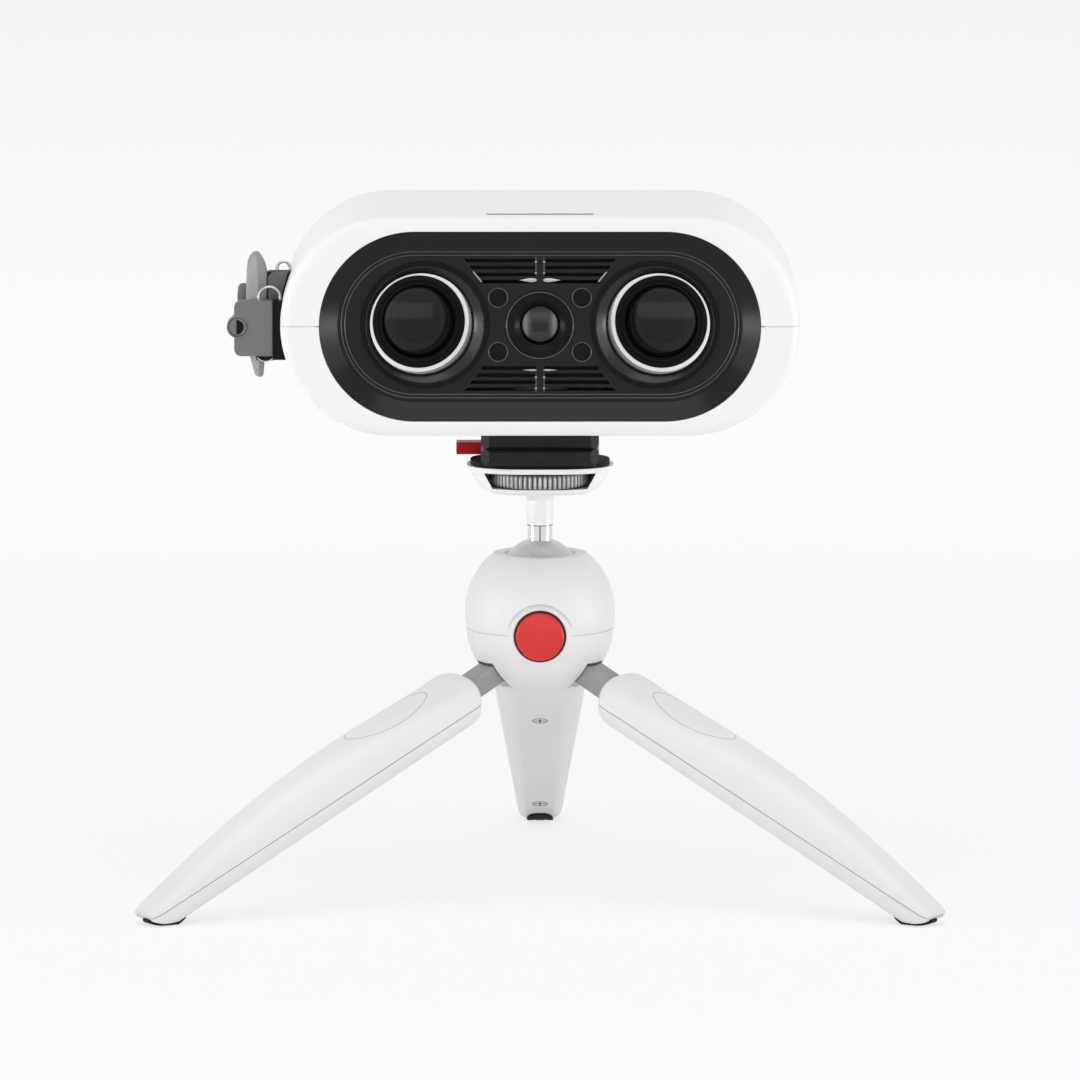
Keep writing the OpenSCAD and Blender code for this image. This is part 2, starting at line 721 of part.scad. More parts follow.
// Knurled wheel that turns the camera screw
module thumb_wheel() color("silver") translate([0, 0, wheel_z]) difference() {
    linear_extrude(wheel_t) polygon([for (i = [0 : wheel_ribs - 1],
        e = [[0, 1], [0.32, 1], [0.5, 0.955], [0.82, 0.955]])
        let (a = 360 * (i + e[0]) / wheel_ribs) wheel_r * e[1] * [cos(a), sin(a)]]);
    translate([0, 0, -1]) cylinder(r = screw_r + run / 2, h = wheel_t + 2);
}
module camera_screw() color("silver") translate([0, 0, wheel_z])
    cylinder(r = screw_r, h = clamp_top - tongue_h - fit - 0.4 - wheel_z);

module neck() color("white") translate([0, 0, stud_z]) difference() {
    rotate_extrude() polygon([[0, 0], [neck_r, 0], [neck_r, neck_len - 2.4],
        [neck_r + 0.8, neck_len - 1], [neck_r + 2.4, neck_len], [0, neck_len]]);
    translate([0, 0, -1]) cylinder(r = 2.6 + run, h = neck_len + 2);
}
module ball_stud() color("#d8dadd") {
    translate([0, 0, ball_z - 5]) cylinder(r = stud_r, h = stud_z - ball_z + 5);
    translate([0, 0, stud_z - 1]) cylinder(r = 2.6, h = neck_len + 2);
}

module ball() color("#8f9296") difference() {
    translate([0, 0, ball_z]) sphere(ball_r, $fn = 96);
    translate([0, 0, ball_z - 5 - run]) cylinder(r = stud_r + run, h = big);
}

// Cup that the ball turns in, on a stem in the lower body
module ball_seat() color("#3c3e42") difference() {
    union() {
        translate([0, 0, seam_z + 0.3]) cylinder(r = ball_r + run, h = ball_up * 0.5);
        translate([0, 0, wedge_top + seam]) cylinder(r = seat_stem_r, h = seam_z + 1 - wedge_top);
    }
    translate([0, 0, ball_z]) sphere(ball_r + 0.1, $fn = 96);
}

// Places a shape on the lock button's axis: +Z points to the front, z = 0 is the flat land
module button_axis() translate([0, -land_y, seam_z]) rotate([90, 0, 0]) children();

module button_bore() button_axis() {
    translate([0, 0, button_floor - land_y]) cylinder(r = button_r + fit, h = big);
    cylinder(r = button_r + 2.6, h = big);
}

// Upper shell of the tripod body, holding the ball under its lip
module upper_body() color("white") difference() {
    lip_r = sqrt(ball_r * ball_r - lip_up * lip_up);
    rotate_extrude() difference() {
        intersection() {
            translate([0, waist_z + upper_up])
                circle(sqrt(body_r * body_r + upper_up * upper_up), $fn = 128);
            translate([0, seam_z + seam / 2]) square([big, collar_z - seam_z - seam / 2]);
        }
        translate([0, ball_z]) circle(ball_r + fit, $fn = 128);
        translate([-1, seam_z - 1]) square([ball_r + fit + 1, ball_z - seam_z + 1]);
        polygon([[-1, ball_z], [lip_r + fit, ball_z + lip_up],
            [lip_r + 0.9, collar_z + 0.4], [-1, collar_z + 0.4]]);
    }
    button_bore();
}

// Radial plane of one leg: x runs outward from the tripod axis
module radial(az) rotate([0, 0, az]) children();
// Leg frame: x = u down the leg, y across it, z = n out of it
module along_leg() translate([pivot_r, 0, pivot_z]) rotate([0, 90 - leg_spread, 0]) children();

// Space that an arm sweeps between open and folded
module arm_sweep() {
    c = hub_r + 0.4;
    translate([0, (arm_w + 2 * seam) / 2, 0]) rotate([90, 0, 0]) linear_extrude(arm_w + 2 * seam) {
        translate([pivot_r, pivot_z]) circle(c);
        polygon([[pivot_r + c * cos(leg_spread), pivot_z + c * sin(leg_spread)],
            [pivot_r + c * cos(leg_spread) + 40 * sin(leg_spread),
                pivot_z + c * sin(leg_spread) - 40 * cos(leg_spread)],
            [pivot_r + 40, pivot_z - 40], [pivot_r - c, pivot_z - 40], [pivot_r - c, pivot_z]]);
    }
}

// Lower shell of the tripod body, slotted for the three hinge arms
module lower_body() color("white") difference() {
    rotate_extrude() intersection() {
        translate([0, waist_z]) circle(body_r, $fn = 128);
        translate([0, lower_z]) square([big, seam_z - seam / 2 - lower_z]);
    }
    translate([0, 0, wedge_top]) cylinder(r = seat_stem_r + run, h = big);
    translate([-wedge_w / 2 - seam, -button_floor - 3, wedge_top - wedge_t - seam])
        cube([wedge_w + 2 * seam, button_floor + 3 + wedge_in + button_travel + button_slack,
            wedge_t + 2 * seam]);
    button_bore();
    for (az = [LEFT, RIGHT, REAR]) radial(az) {
        arm_sweep();
        translate([pivot_r, 0, pivot_z]) rotate([90, 0, 0])
            cylinder(r = pin_r + run, h = pin_len + 1, center = true);
    }
}

// Red button, hollow behind for its spring
module lock_button() color("#c81414") button_axis() rotate_extrude() difference() {
    union() {
        translate([0, -button_skirt]) square([button_r, button_skirt + 1.2]);
        intersection() {
            translate([0, 2.2 - 34]) circle(34);
            translate([0, 1]) square([button_r - 0.6, 4]);
        }
    }
    translate([-1, -button_skirt - 1]) square([button_r - 1.4 + 1, button_skirt + 0.6]);
}
module button_spring() color("silver") button_axis() translate([0, 0, button_floor - land_y])
    coil(4.4, land_y - button_floor - 0.4, 3);

// Tongue behind the button, under the ball's seat
module lock_wedge() color("#3c3e42") translate([-wedge_w / 2, -land_y + button_skirt, wedge_top - wedge_t])
    cube([wedge_w, land_y - button_skirt + wedge_in, wedge_t]);

module hinge_pins() color("silver") for (az = [LEFT, RIGHT, REAR]) radial(az)
    translate([pivot_r, 0, pivot_z]) rotate([90, 0, 0]) cylinder(r = pin_r, h = pin_len, center = true);

// Flat metal arm that carries a leg on its pin
module leg_arm(az) color("#8a8d92") radial(az) along_leg() difference() {
    union() {
        rotate([90, 0, 0]) cylinder(r = hub_r, h = arm_w, center = true);
        translate([0, -arm_w / 2, -arm_h / 2]) cube([leg_start + arm_in, arm_w, arm_h]);
    }
    rotate([90, 0, 0]) cylinder(r = pin_r + run, h = arm_w + 2, center = true);
}

// Half width, crown and cover depth of a leg, at u
function leg_s(u) = (u - leg_start) / leg_len;
function leg_half(u) = (leg_root_w + (leg_tip_w - leg_root_w) * leg_s(u)) / 2
    * rounding((u - leg_start) / root_round_w) * rounding((leg_end + tip_blunt - u) / tip_round);
function root_fall(u) = 1 - root_drop * (0.5 + 0.5 * cos(180 * min(1, leg_s(u) / root_drop_to)));
function leg_top(u) = (tip_h + (leg_crown - tip_h) * (1 - pow(max(0, (leg_s(u) - 0.47) / 0.53), 1.8)))
    * root_fall(u) * rounding((u - leg_start) / root_round_n);
function grip_tilt() = let (a = grip_len / 2)
    atan((leg_top(grip_u + a) - leg_top(grip_u - a)) / grip_len);
function leg_low(u) = leg_cover * rounding((u - leg_start) / root_round_w);
function leg_stations() = let (a = 0.875 * root_round_n) concat(
    [for (x = [0.02, 0.0625, 0.16, 0.31, 0.56, 0.875]) leg_start + x * root_round_n],
    [for (k = [1 : 6]) leg_start + a + (leg_len - a - tip_round) * k / 6],
    [for (x = [0.56, 0.25, 0.075, 0]) leg_end - x * tip_round]);
// The root's end face leans back along the leg, so that it stands upright on an open leg
function leg_at(u, n) = u - root_lean * n * max(0, 1 - (u - leg_start) / root_lean_len);
// Domed section of the outer shell, and the flat, chamfered one of the inner cover
function shell_ring(u) = [for (k = [0 : 20])
    let (a = 180 * k / 20, n = seam_n + seam / 2 + leg_top(u) * swell(sin(a), 2.4))
        [leg_at(u, n), leg_half(u) * swell(cos(a), 2.4), n]];
function cover_ring(u) = let (w = leg_half(u), d = leg_low(u))
    [for (q = [[w, 0], [-w, 0], [-0.96 * w, -0.35 * d],
        [-0.56 * w, -d], [0.56 * w, -d], [0.96 * w, -0.35 * d]])
        let (n = seam_n - seam / 2 + q[1]) [leg_at(u, n), q[0], n]];
// Whole section, without the seam, for the foot
function foot_ring(u) = concat(
    [for (q = shell_ring(u)) [u, q[1], q[2] - seam / 2]],
    [for (k = [2 : 5]) let (q = cover_ring(u)[k]) [u, q[1], q[2] + seam / 2]]);

// Curve of the sole: flat where it stands, turned up at both ends
module sole(z0) {
    mid = foot_reach - sole_in;
    translate([0, big / 2, 0]) rotate([90, 0, 0]) linear_extrude(big) difference() {
        translate([mid - big / 8, -big / 8]) square([big / 4, big / 8 + sole_top]);
        translate([mid, z0]) {
            translate([-sole_flat / 2, 0]) square([sole_flat, big / 8]);
            translate([-sole_flat / 2, sole_curve]) circle(sole_curve);
            translate([sole_flat / 2, sole_curve]) circle(sole_curve);
        }
    }
}

module grip_prism(grow) translate([grip_u, 0, leg_top(grip_u) + seam_n - grip_deep - grow])
    rotate([0, -grip_tilt(), 0]) linear_extrude(20)
        polygon(oval(grip_len / 2 + grow, grip_w / 2 + grow, 2, 40));
module arm_pocket() translate([leg_start - 10, -arm_w / 2 - run, -arm_h / 2 - run])
    cube([arm_in + 10 + run, arm_w + 2 * run, arm_h + 2 * run]);
module leg_screw_at() for (u = [leg_start + leg_screw_up, leg_end - leg_screw_down])
    translate([u, 0, seam_n - seam / 2 - leg_cover]) children();

module leg_shell_solid() skin([for (u = leg_stations()) shell_ring(u)]);

module leg_shell(az) color("white") radial(az) difference() {
    along_leg() difference() {
        leg_shell_solid();
        grip_prism(fit);
        arm_pocket();
        leg_screw_at() cylinder(r = 1.1, h = 8);
    }
    sole(foot_t + fit);
}
module leg_cover_piece(az) color("white") radial(az) difference() {
    along_leg() difference() {
        skin([for (u = leg_stations()) cover_ring(u)]);
        arm_pocket();
        leg_screw_at() {
            translate([0, 0, -1]) cylinder(r = leg_screw_r + fit, h = 2.6);
            cylinder(r = 1.1, h = 8);
        }
    }
    sole(foot_t + fit);
}
module leg_grip(az) color("white") radial(az) along_leg() intersection() {
    leg_shell_solid();
    grip_prism(0);
}
module leg_foot(az) color("#18181a") radial(az) difference() {
    along_leg() skin([for (u = leg_stations()) foot_ring(u)]);
    sole(0);
    difference() {
        translate([-big / 2, -big / 2, -big / 2]) cube(big);
        sole(foot_t);
    }
}
module leg_screws(az) color("dimgray") radial(az) along_leg() leg_screw_at() {
    translate([0, 0, 0.6]) cylinder(r = leg_screw_r, h = 1);
    translate([0, 0, 0.6]) cylinder(r = 1.05, h = 6.4);
}

module left_leg_arm() leg_arm(LEFT);
module left_leg_shell() leg_shell(LEFT);
module left_leg_cover() leg_cover_piece(LEFT);
module left_leg_grip() leg_grip(LEFT);
module left_leg_foot() leg_foot(LEFT);
module left_leg_screws() leg_screws(LEFT);
module right_leg_arm() leg_arm(RIGHT);
module right_leg_shell() leg_shell(RIGHT);
module right_leg_cover() leg_cover_piece(RIGHT);
module right_leg_grip() leg_grip(RIGHT);
module right_leg_foot() leg_foot(RIGHT);
module right_leg_screws() leg_screws(RIGHT);
module rear_leg_arm() leg_arm(REAR);
module rear_leg_shell() leg_shell(REAR);
module rear_leg_cover() leg_cover_piece(REAR);
module rear_leg_grip() leg_grip(REAR);
module rear_leg_foot() leg_foot(REAR);
module rear_leg_screws() leg_screws(REAR);

// Everything stands on the tripod axis
module stand() translate([0, axis_y, 0]) children();

stand() upper_casing();
stand() lower_casing();
stand() front_bezel();
stand() optics_plate();
stand() left_lens_barrel();
stand() right_lens_barrel();
stand() left_ring_light();
stand() right_ring_light();
stand() left_lens();
stand() right_lens();
stand() projector_barrel();
stand() projector_lens();
stand() projector_screws();
stand() optical_bench();
stand() sensor_boards();
stand() main_board();
stand() casing_screws();
stand() tripod_bush();
stand() clip_base();
stand() clip_block();
stand() clip_lever();
stand() clip_pin();
stand() clip_wires();
stand() release_plate();
stand() plate_screw();
stand() release_clamp();
stand() release_tab();
stand() release_spring();
stand() platform();
stand() platform_pad();
stand() thumb_wheel();
stand() camera_screw();
stand() neck();
stand() ball_stud();
stand() ball();
stand() ball_seat();
stand() upper_body();
stand() lower_body();
stand() lock_button();
stand() button_spring();
stand() lock_wedge();
stand() hinge_pins();
stand() left_leg_arm();
stand() left_leg_shell();
stand() left_leg_cover();
stand() left_leg_grip();
stand() left_leg_foot();
stand() left_leg_screws();
stand() right_leg_arm();
stand() right_leg_shell();
stand() right_leg_cover();
stand() right_leg_grip();
stand() right_leg_foot();
stand() right_leg_screws();
stand() rear_leg_arm();
stand() rear_leg_shell();
stand() rear_leg_cover();
stand() rear_leg_grip();
stand() rear_leg_foot();
stand() rear_leg_screws();
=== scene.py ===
# %% [markdown]
# # A dental measuring camera on its mini tripod
# The object is a white camera head with two lenses and a pattern projector, held by a quick release on a
# small ball-head tripod. Its solids come from CAD, each one a named piece that moves with a named body. This
# lesson dresses them: it gives every solid a finish, swaps the coarse lofted legs for smooth ones, and adds
# the small trim that a lens maker or a toolmaker would see first.
#
# The CAD frame is loaded first. Nothing below may make the object bigger.

import json
import math

import bmesh
import bpy
import numpy as np
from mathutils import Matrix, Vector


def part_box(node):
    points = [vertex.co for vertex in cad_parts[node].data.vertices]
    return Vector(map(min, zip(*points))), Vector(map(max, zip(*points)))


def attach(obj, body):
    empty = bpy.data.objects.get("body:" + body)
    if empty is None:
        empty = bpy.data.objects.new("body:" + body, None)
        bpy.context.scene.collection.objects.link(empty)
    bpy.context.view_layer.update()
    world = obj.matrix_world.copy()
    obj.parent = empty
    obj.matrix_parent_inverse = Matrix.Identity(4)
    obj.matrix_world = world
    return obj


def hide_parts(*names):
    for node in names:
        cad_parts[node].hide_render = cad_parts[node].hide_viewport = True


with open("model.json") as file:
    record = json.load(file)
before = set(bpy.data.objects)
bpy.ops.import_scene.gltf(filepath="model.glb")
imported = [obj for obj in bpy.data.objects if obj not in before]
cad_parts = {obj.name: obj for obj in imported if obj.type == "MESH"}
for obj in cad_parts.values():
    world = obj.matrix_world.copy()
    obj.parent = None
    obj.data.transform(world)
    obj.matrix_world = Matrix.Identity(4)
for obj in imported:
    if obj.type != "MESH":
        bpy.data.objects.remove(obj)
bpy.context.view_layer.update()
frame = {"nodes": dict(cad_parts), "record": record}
solids = frame["nodes"]

# %% [markdown]
# ## Where the camera stands
# The photograph was taken from the front, a little above the object, with a long lens: the legs show almost
# no perspective. A camera 4 m away with a 428 mm lens and a downward tilt of 8 degrees gives the same
# outlines. The tripod's own axis is the line that everything is measured from, so it gets a name. Pieces are
# measured in mm, the camera, the floor and the lamps in m.

# %% The photographer's camera
AXIS_Y = -33.5418
TILT = math.radians(8.0)
CAMERA_AWAY, AIM_HEIGHT = 4.0, 0.1097

def put(name, data):
    """A new object in the scene, at the origin."""
    thing = bpy.data.objects.new(name, data)
    bpy.context.scene.collection.objects.link(thing)
    return thing

lens = bpy.data.cameras.new("photo_camera")
lens.lens = 428.0
lens.sensor_width = 36.0
lens.clip_end = 30.0
eye = put("photo_camera", lens)
eye.location = (0.0, AXIS_Y / 1000 - CAMERA_AWAY * math.cos(TILT), AIM_HEIGHT + CAMERA_AWAY * math.sin(TILT))
eye.rotation_euler = (math.pi / 2 - TILT, 0.0, 0.0)
bpy.context.scene.camera = eye
bpy.context.scene.view_settings.view_transform = "Standard"
print("camera at", [round(v, 3) for v in eye.location])

# %% [markdown]
# ## From a grid of points to a mesh
# Every new piece is a grid: rows along the piece, columns round it. A formula fills the whole grid at once
# with numpy, and the faces follow from the grid's row and column numbers. The ends are shut with a fan to
# their middle, so each piece is a closed body, and the sign of its volume tells which way its faces have to
# point.

# %% Closed skins

def cells(number):
    """The four corners of each cell in a grid of point numbers."""
    corners = [number[:-1, :-1], number[1:, :-1], number[1:, 1:], number[:-1, 1:]]
    return np.stack(corners, -1).reshape(-1, 4)

def closed_skin(grid, ring=False):
    """A closed body from a grid of points in mm. Columns always join up. Rows join up too where the piece is
    a ring; otherwise the first and last rows are drawn together at their middle."""
    if not ring:
        ends = (grid[:1], grid[-1:])
        first, last = (np.repeat(end.mean(1, keepdims=True), grid.shape[1], 1) for end in ends)
        grid = np.concatenate([first, grid, last])
    rows, columns = grid.shape[:2]
    number = np.arange(rows * columns).reshape(rows, columns)
    number = np.hstack([number, number[:, :1]])
    if ring:
        number = np.vstack([number, number[:1]])
    quads = cells(number)
    points = grid.reshape(-1, 3)
    a, b, c, d = (points[quads[:, k]] - points.mean(0) for k in range(4))
    volume = (a * np.cross(b, c)).sum() + (a * np.cross(c, d)).sum()
    return points, quads if volume > 0 else quads[:, ::-1]

print("skins ready")

# %% [markdown]
# A skin becomes a piece when it has a finish and rides a body. Most pieces take the finish of their material
# slot. A piece that is drawn finer than a CAD solid stands for that solid in the picture.

# %% Pieces that ride a body
SHARP = 38
finishes = {}

def join(name, mesh, body, slot, look=None, sharp=SHARP, stands_for=None):
    """Makes a mesh a piece of the object: edges up to the sharp angle are shaded smooth, it gets a finish,
    rides a body, and may stand for a solid."""
    mesh.shade_smooth()
    mesh.set_sharp_from_angle(angle=math.radians(sharp))
    mesh.materials.clear()
    mesh.materials.append(finishes[look or slot])
    piece = put(name, mesh)
    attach(piece, body)
    if stands_for:
        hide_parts(stands_for)
    print(name, "on", body, len(mesh.vertices), "points", len(mesh.polygons), "faces")
    return piece

def new_piece(name, skins, body, slot, **choices):
    """One piece from one or more closed skins, with the points at their poles merged."""
    starts = np.cumsum([0] + [len(points) for points, _ in skins[:-1]])
    points = np.vstack([points for points, _ in skins]) / 1000
    quads = np.vstack([quads + start for (_, quads), start in zip(skins, starts)])
    mesh = bpy.data.meshes.new(name)
    mesh.from_pydata(points.tolist(), [], quads.tolist())
    work = bmesh.new()
    work.from_mesh(mesh)
    bmesh.ops.remove_doubles(work, verts=work.verts, dist=1e-7)
    bmesh.ops.dissolve_degenerate(work, edges=work.edges, dist=1e-8)
    work.to_mesh(mesh)
    work.free()
    return join(name, mesh, body, slot, **choices)

print("pieces are smooth up to", SHARP, "degrees")

# %% [markdown]
# ## Turning, bending and filling
# Three ways of making cover nearly all the trim. A lathe carries a profile round an axis, a wire bender
# carries a circle along a line, and a stamp fills an outline between two levels. Each one is a short formula
# on whole arrays.

# %% Lathe and wire

def all_round(count):
    """That many angles, evenly spaced over a full turn."""
    return np.linspace(0, 2 * np.pi, count, endpoint=False)

def turned(profile, centre, axis, ring=False, count=96):
    """Lathe: each (radius, height) of the profile draws a circle of that radius, at that height along the
    axis."""
    radius, height = np.array(profile, float).T
    axis = np.array(axis, float) / np.linalg.norm(axis)
    side = np.cross([0.0, 0.0, 1.0] if abs(axis[2]) < 0.9 else [1.0, 0.0, 0.0], axis)
    side /= np.linalg.norm(side)
    angle = all_round(count)[:, None]
    circle = np.cos(angle) * side + np.sin(angle) * np.cross(axis, side)
    grid = np.array(centre) + radius[:, None, None] * circle + (height[:, None] * axis)[:, None]
    return closed_skin(grid, ring)

def wire(path, radius, up, ring=False, count=14):
    """Wire bender: a circle of the given radius, square to the path at each of its points. Up is any
    direction that the path never runs along."""
    path = np.array(path, float)
    along = np.roll(path, -1, 0) - np.roll(path, 1, 0) if ring else np.gradient(path, axis=0)
    along /= np.linalg.norm(along, axis=1, keepdims=True)
    side = np.cross(along, up)
    side /= np.linalg.norm(side, axis=1, keepdims=True)
    angle = all_round(count)[None, :, None]
    circle = np.cos(angle) * side[:, None] + np.sin(angle) * np.cross(along, side)[:, None]
    radius = np.broadcast_to(radius, len(path))[:, None, None]
    return closed_skin(path[:, None] + radius * circle, ring)

print("lathe and wire ready")

# %% Stamp and oval

def stamped(outline, low, high, edge=0.0):
    """Stamp: an outline of (x, z) points between two depths y, its two rims drawn in by the edge's radius
    along a quarter circle."""
    outline = np.array(outline, float)
    middle = outline.mean(0)
    reach = np.linalg.norm(outline - middle, axis=1, keepdims=True)
    turn = np.linspace(0, np.pi / 2, 5) if edge else np.zeros(1)
    inset = edge * (1 - np.sin(turn))
    rise = edge * (1 - np.cos(turn))
    inset = np.concatenate([inset, inset[::-1]])
    depth = np.concatenate([low + rise, (high - rise)[::-1]])
    flat = middle + (outline - middle) * (1 - inset[:, None, None] / reach)
    grid = np.stack([flat[..., 0], np.broadcast_to(depth[:, None], flat.shape[:2]), flat[..., 1]], -1)
    return closed_skin(grid)

def swell(value, power):
    """A cosine or sine raised to 2/power, its sign kept: a power over 2 squares a circle's corners up."""
    return np.sign(value) * np.abs(value) ** (2 / power)

def oval(half_x, half_z, power=2.0, count=64):
    """A rounded outline: the angle's cosine and sine, swelled by the power."""
    angle = all_round(count)
    return np.stack([half_x * swell(np.cos(angle), power), half_z * swell(np.sin(angle), power)], -1)

print("stamp ready")

# %% [markdown]
# ## A finish that isn't one flat colour
# Moulded plastic, painted metal and rubber all vary a little: the colour drifts over centimetres, the gloss
# over millimetres, and a fine grain breaks up the reflection. One recipe sets all three from noise in the
# object's own coordinates, so the pattern stays put when the piece moves. Numbers that are the same all over
# go straight into the shader's sockets.

# %% Shader nodes

def set_inputs(node, values):
    """Sets inputs of a node by name. An underscore stands for a space."""
    for name, value in values.items():
        node.inputs[name.replace("_", " ")].default_value = value
    return node

def add_node(tree, kind, **values):
    """A new shader node of a kind, with some of its inputs set."""
    return set_inputs(tree.nodes.new("ShaderNode" + kind), values)

def colour_by(tree, value, dark, pale, low=0.0, high=1.0):
    """Takes the shader's colour from dark to pale as a value goes from low to high."""
    ramp = add_node(tree, "ValToRGB")
    for stop, place, colour in zip(ramp.color_ramp.elements, (low, high), (dark, pale)):
        stop.position = place
        stop.color = [*colour, 1.0]
    tree.links.new(value, ramp.inputs["Fac"])
    tree.links.new(ramp.outputs["Color"], tree.nodes["Principled BSDF"].inputs["Base Color"])

print("shader nodes ready")

# %% The recipe for a finish

def finish(name, colour, drift=0.03, drift_mm=14.0, rough=0.4, rough_swing=0.05, grain_mm=0.35,
           grain_lift=0.006, stretch=(1.0, 1.0, 1.0), **sockets):
    """A shader whose colour drifts by the given share, whose roughness swings round its middle value, and
    whose surface carries a grain of that size and height in mm. Stretch draws the grain out along an axis, as
    brushing does."""
    material = bpy.data.materials.new(name)
    material.use_nodes = True
    tree = material.node_tree
    link = tree.links.new
    shader = set_inputs(tree.nodes["Principled BSDF"], sockets)
    place = add_node(tree, "TexCoord").outputs["Object"]
    slow = add_node(tree, "TexNoise", Scale=1000.0 / drift_mm, Detail=3.0)
    link(place, slow.inputs["Vector"])
    dark, pale = ([min(1.0, c * share) for c in colour] for share in (1 - drift, 1 + drift))
    colour_by(tree, slow.outputs["Fac"], dark, pale, 0.3, 0.7)
    brush = add_node(tree, "Mapping", Scale=stretch)
    link(place, brush.inputs["Vector"])
    fine = add_node(tree, "TexNoise", Scale=1000.0 / grain_mm, Detail=2.0)
    link(brush.outputs["Vector"], fine.inputs["Vector"])
    gloss = add_node(tree, "MapRange", From_Min=0.3, From_Max=0.7,
                     To_Min=rough - rough_swing, To_Max=rough + rough_swing)
    link(fine.outputs["Fac"], gloss.inputs["Value"])
    link(gloss.outputs["Result"], shader.inputs["Roughness"])
    bump = add_node(tree, "Bump", Distance=grain_lift / 1000)
    link(fine.outputs["Fac"], bump.inputs["Height"])
    link(bump.outputs["Normal"], shader.inputs["Normal"])
    finishes[name] = material

print("finish recipe ready")

# %% [markdown]
# ## The finishes of this object
# The camera and the legs are satin white mouldings. The funnel, barrels and quick release are black, so what
# the eye sees on them is mostly their gloss: a low specular level keeps them as dark as coated plastic. The
# hinge arms, the ball and the clip are grey castings, the stud is chrome, and the button and the tab are red.

# %% White mouldings and black parts
finish("casing_white", (0.85, 0.85, 0.845), 0.012, 30, 0.36, 0.05, 0.4, 0.003)
finish("platform_white", (0.87, 0.87, 0.86), 0.015, 20, 0.38, 0.05, 0.4, 0.003)
finish("leg_white", (0.81, 0.81, 0.805), 0.015, 26, 0.42, 0.05, 0.5, 0.003)
# The ring lights glow faintly: painted light that keeps them white in the funnel's shade.
finish("light_white", (0.9, 0.905, 0.91), 0.02, 5, 0.3, 0.05, 0.3, 0.003,
       Emission_Color=(1.0, 1.0, 1.0, 1.0), Emission_Strength=0.38)
finish("bezel_black", (0.0045, 0.0047, 0.005), 0.2, 12, 0.24, 0.03, 0.22, 0.002, Specular_IOR_Level=0.21)
finish("barrel_black", (0.004, 0.0043, 0.0047), 0.2, 8, 0.34, 0.05, 0.2, 0.003, Specular_IOR_Level=0.1)
finish("release_black", (0.0055, 0.0055, 0.006), 0.25, 6, 0.42, 0.06, 0.18, 0.005, Specular_IOR_Level=0.2)
finish("pad_rubber", (0.007, 0.007, 0.0075), 0.3, 4, 0.7, 0.08, 0.3, 0.02, Specular_IOR_Level=0.2)
finish("foot_rubber", (0.009, 0.009, 0.009), 0.3, 4, 0.72, 0.08, 0.3, 0.02, Specular_IOR_Level=0.2)
finish("seat_dark", (0.04, 0.041, 0.043), 0.15, 6, 0.45, 0.06, 0.3, 0.006)
finish("screw_dark", (0.003, 0.003, 0.0033), 0.2, 3, 0.42, 0.06, 0.12, 0.004, Specular_IOR_Level=0.12)
finish("bench_alloy", (0.014, 0.014, 0.015), 0.2, 6, 0.5, 0.06, 0.2, 0.006, Metallic=0.5)
print("white and black finishes:", len(finishes))

# %% Greys, metals, reds and the rest
finish("clip_dark", (0.006, 0.0062, 0.0065), 0.12, 5, 0.5, 0.07, 0.25, 0.008, Specular_IOR_Level=0.1)
finish("clip_grey", (0.15, 0.152, 0.155), 0.06, 6, 0.42, 0.07, 0.25, 0.008)
finish("arm_metal", (0.31, 0.314, 0.318), 0.06, 5, 0.42, 0.08, 0.25, 0.008, Metallic=0.35)
finish("ball_grey", (0.6, 0.605, 0.61), 0.04, 6, 0.3, 0.06, 0.2, 0.004, Metallic=0.4)
finish("stud_chrome", (0.72, 0.725, 0.73), 0.04, 4, 0.12, 0.04, 0.2, 0.002, (1, 1, 14), Metallic=1.0)
finish("wheel_silver", (0.5, 0.505, 0.51), 0.05, 4, 0.38, 0.06, 0.15, 0.004, (1, 1, 8), Metallic=0.55)
finish("wire_steel", (0.5, 0.5, 0.5), 0.04, 3, 0.24, 0.05, 0.15, 0.003, Metallic=1.0)
finish("brass", (0.56, 0.39, 0.15), 0.08, 4, 0.32, 0.06, 0.2, 0.004, Metallic=1.0)
finish("tab_red", (0.43, 0.006, 0.01), 0.08, 5, 0.36, 0.06, 0.2, 0.005, Specular_IOR_Level=0.12)
finish("button_red", (0.66, 0.016, 0.014), 0.04, 8, 0.3, 0.05, 0.3, 0.003)
finish("board_green", (0.012, 0.07, 0.03), 0.3, 3, 0.4, 0.1, 0.4, 0.01)
print("finishes in all:", len(finishes))

# %% [markdown]
# ## Coated glass
# A camera lens is clear glass with an anti-reflection coat, so it looks nearly black: the barrel behind it
# swallows the light. Tracing light through it makes noise and shows little. So the glass is a dark gloss, and
# a value kept at each point of its mesh paints it a little paler where lit rings and edges behind the glass
# would show: painted glow and painted highlights.

# %% Lens glass

def tinted(look, attribute, dark, pale):
    """Lets a finish go from a dark to a pale colour with the mesh's attribute of that name."""
    tree = finishes[look].node_tree
    read = add_node(tree, "Attribute")
    read.attribute_name = attribute
    colour_by(tree, read.outputs["Fac"], dark, pale)

def points_of(piece):
    """The points of a piece in mm, as one array."""
    spot = np.empty(len(piece.data.vertices) * 3, np.float32)
    piece.data.vertices.foreach_get("co", spot)
    return spot.reshape(-1, 3) * 1000.0

def keep(piece, attribute, values):
    """Stores one value from 0 to 1 at each point of a piece."""
    kept = piece.data.attributes.new(attribute, "FLOAT", "POINT")
    kept.data.foreach_set("value", np.clip(values, 0, 1).astype(np.float32))

finish("lens_glass", (0.004, 0.004, 0.005), 0.2, 9, 0.12, 0.015, 4.0, 0.0, Specular_IOR_Level=0.25)
# The behind value paints light on the glass: paler where lit parts behind it would show.
tinted("lens_glass", "behind", (0.0022, 0.0024, 0.0032), (0.035, 0.036, 0.041))
for part in frame["record"]["subparts"]:
    for hold in solids[part["node"]].material_slots:
        hold.material = finishes[part["material_slot"]]

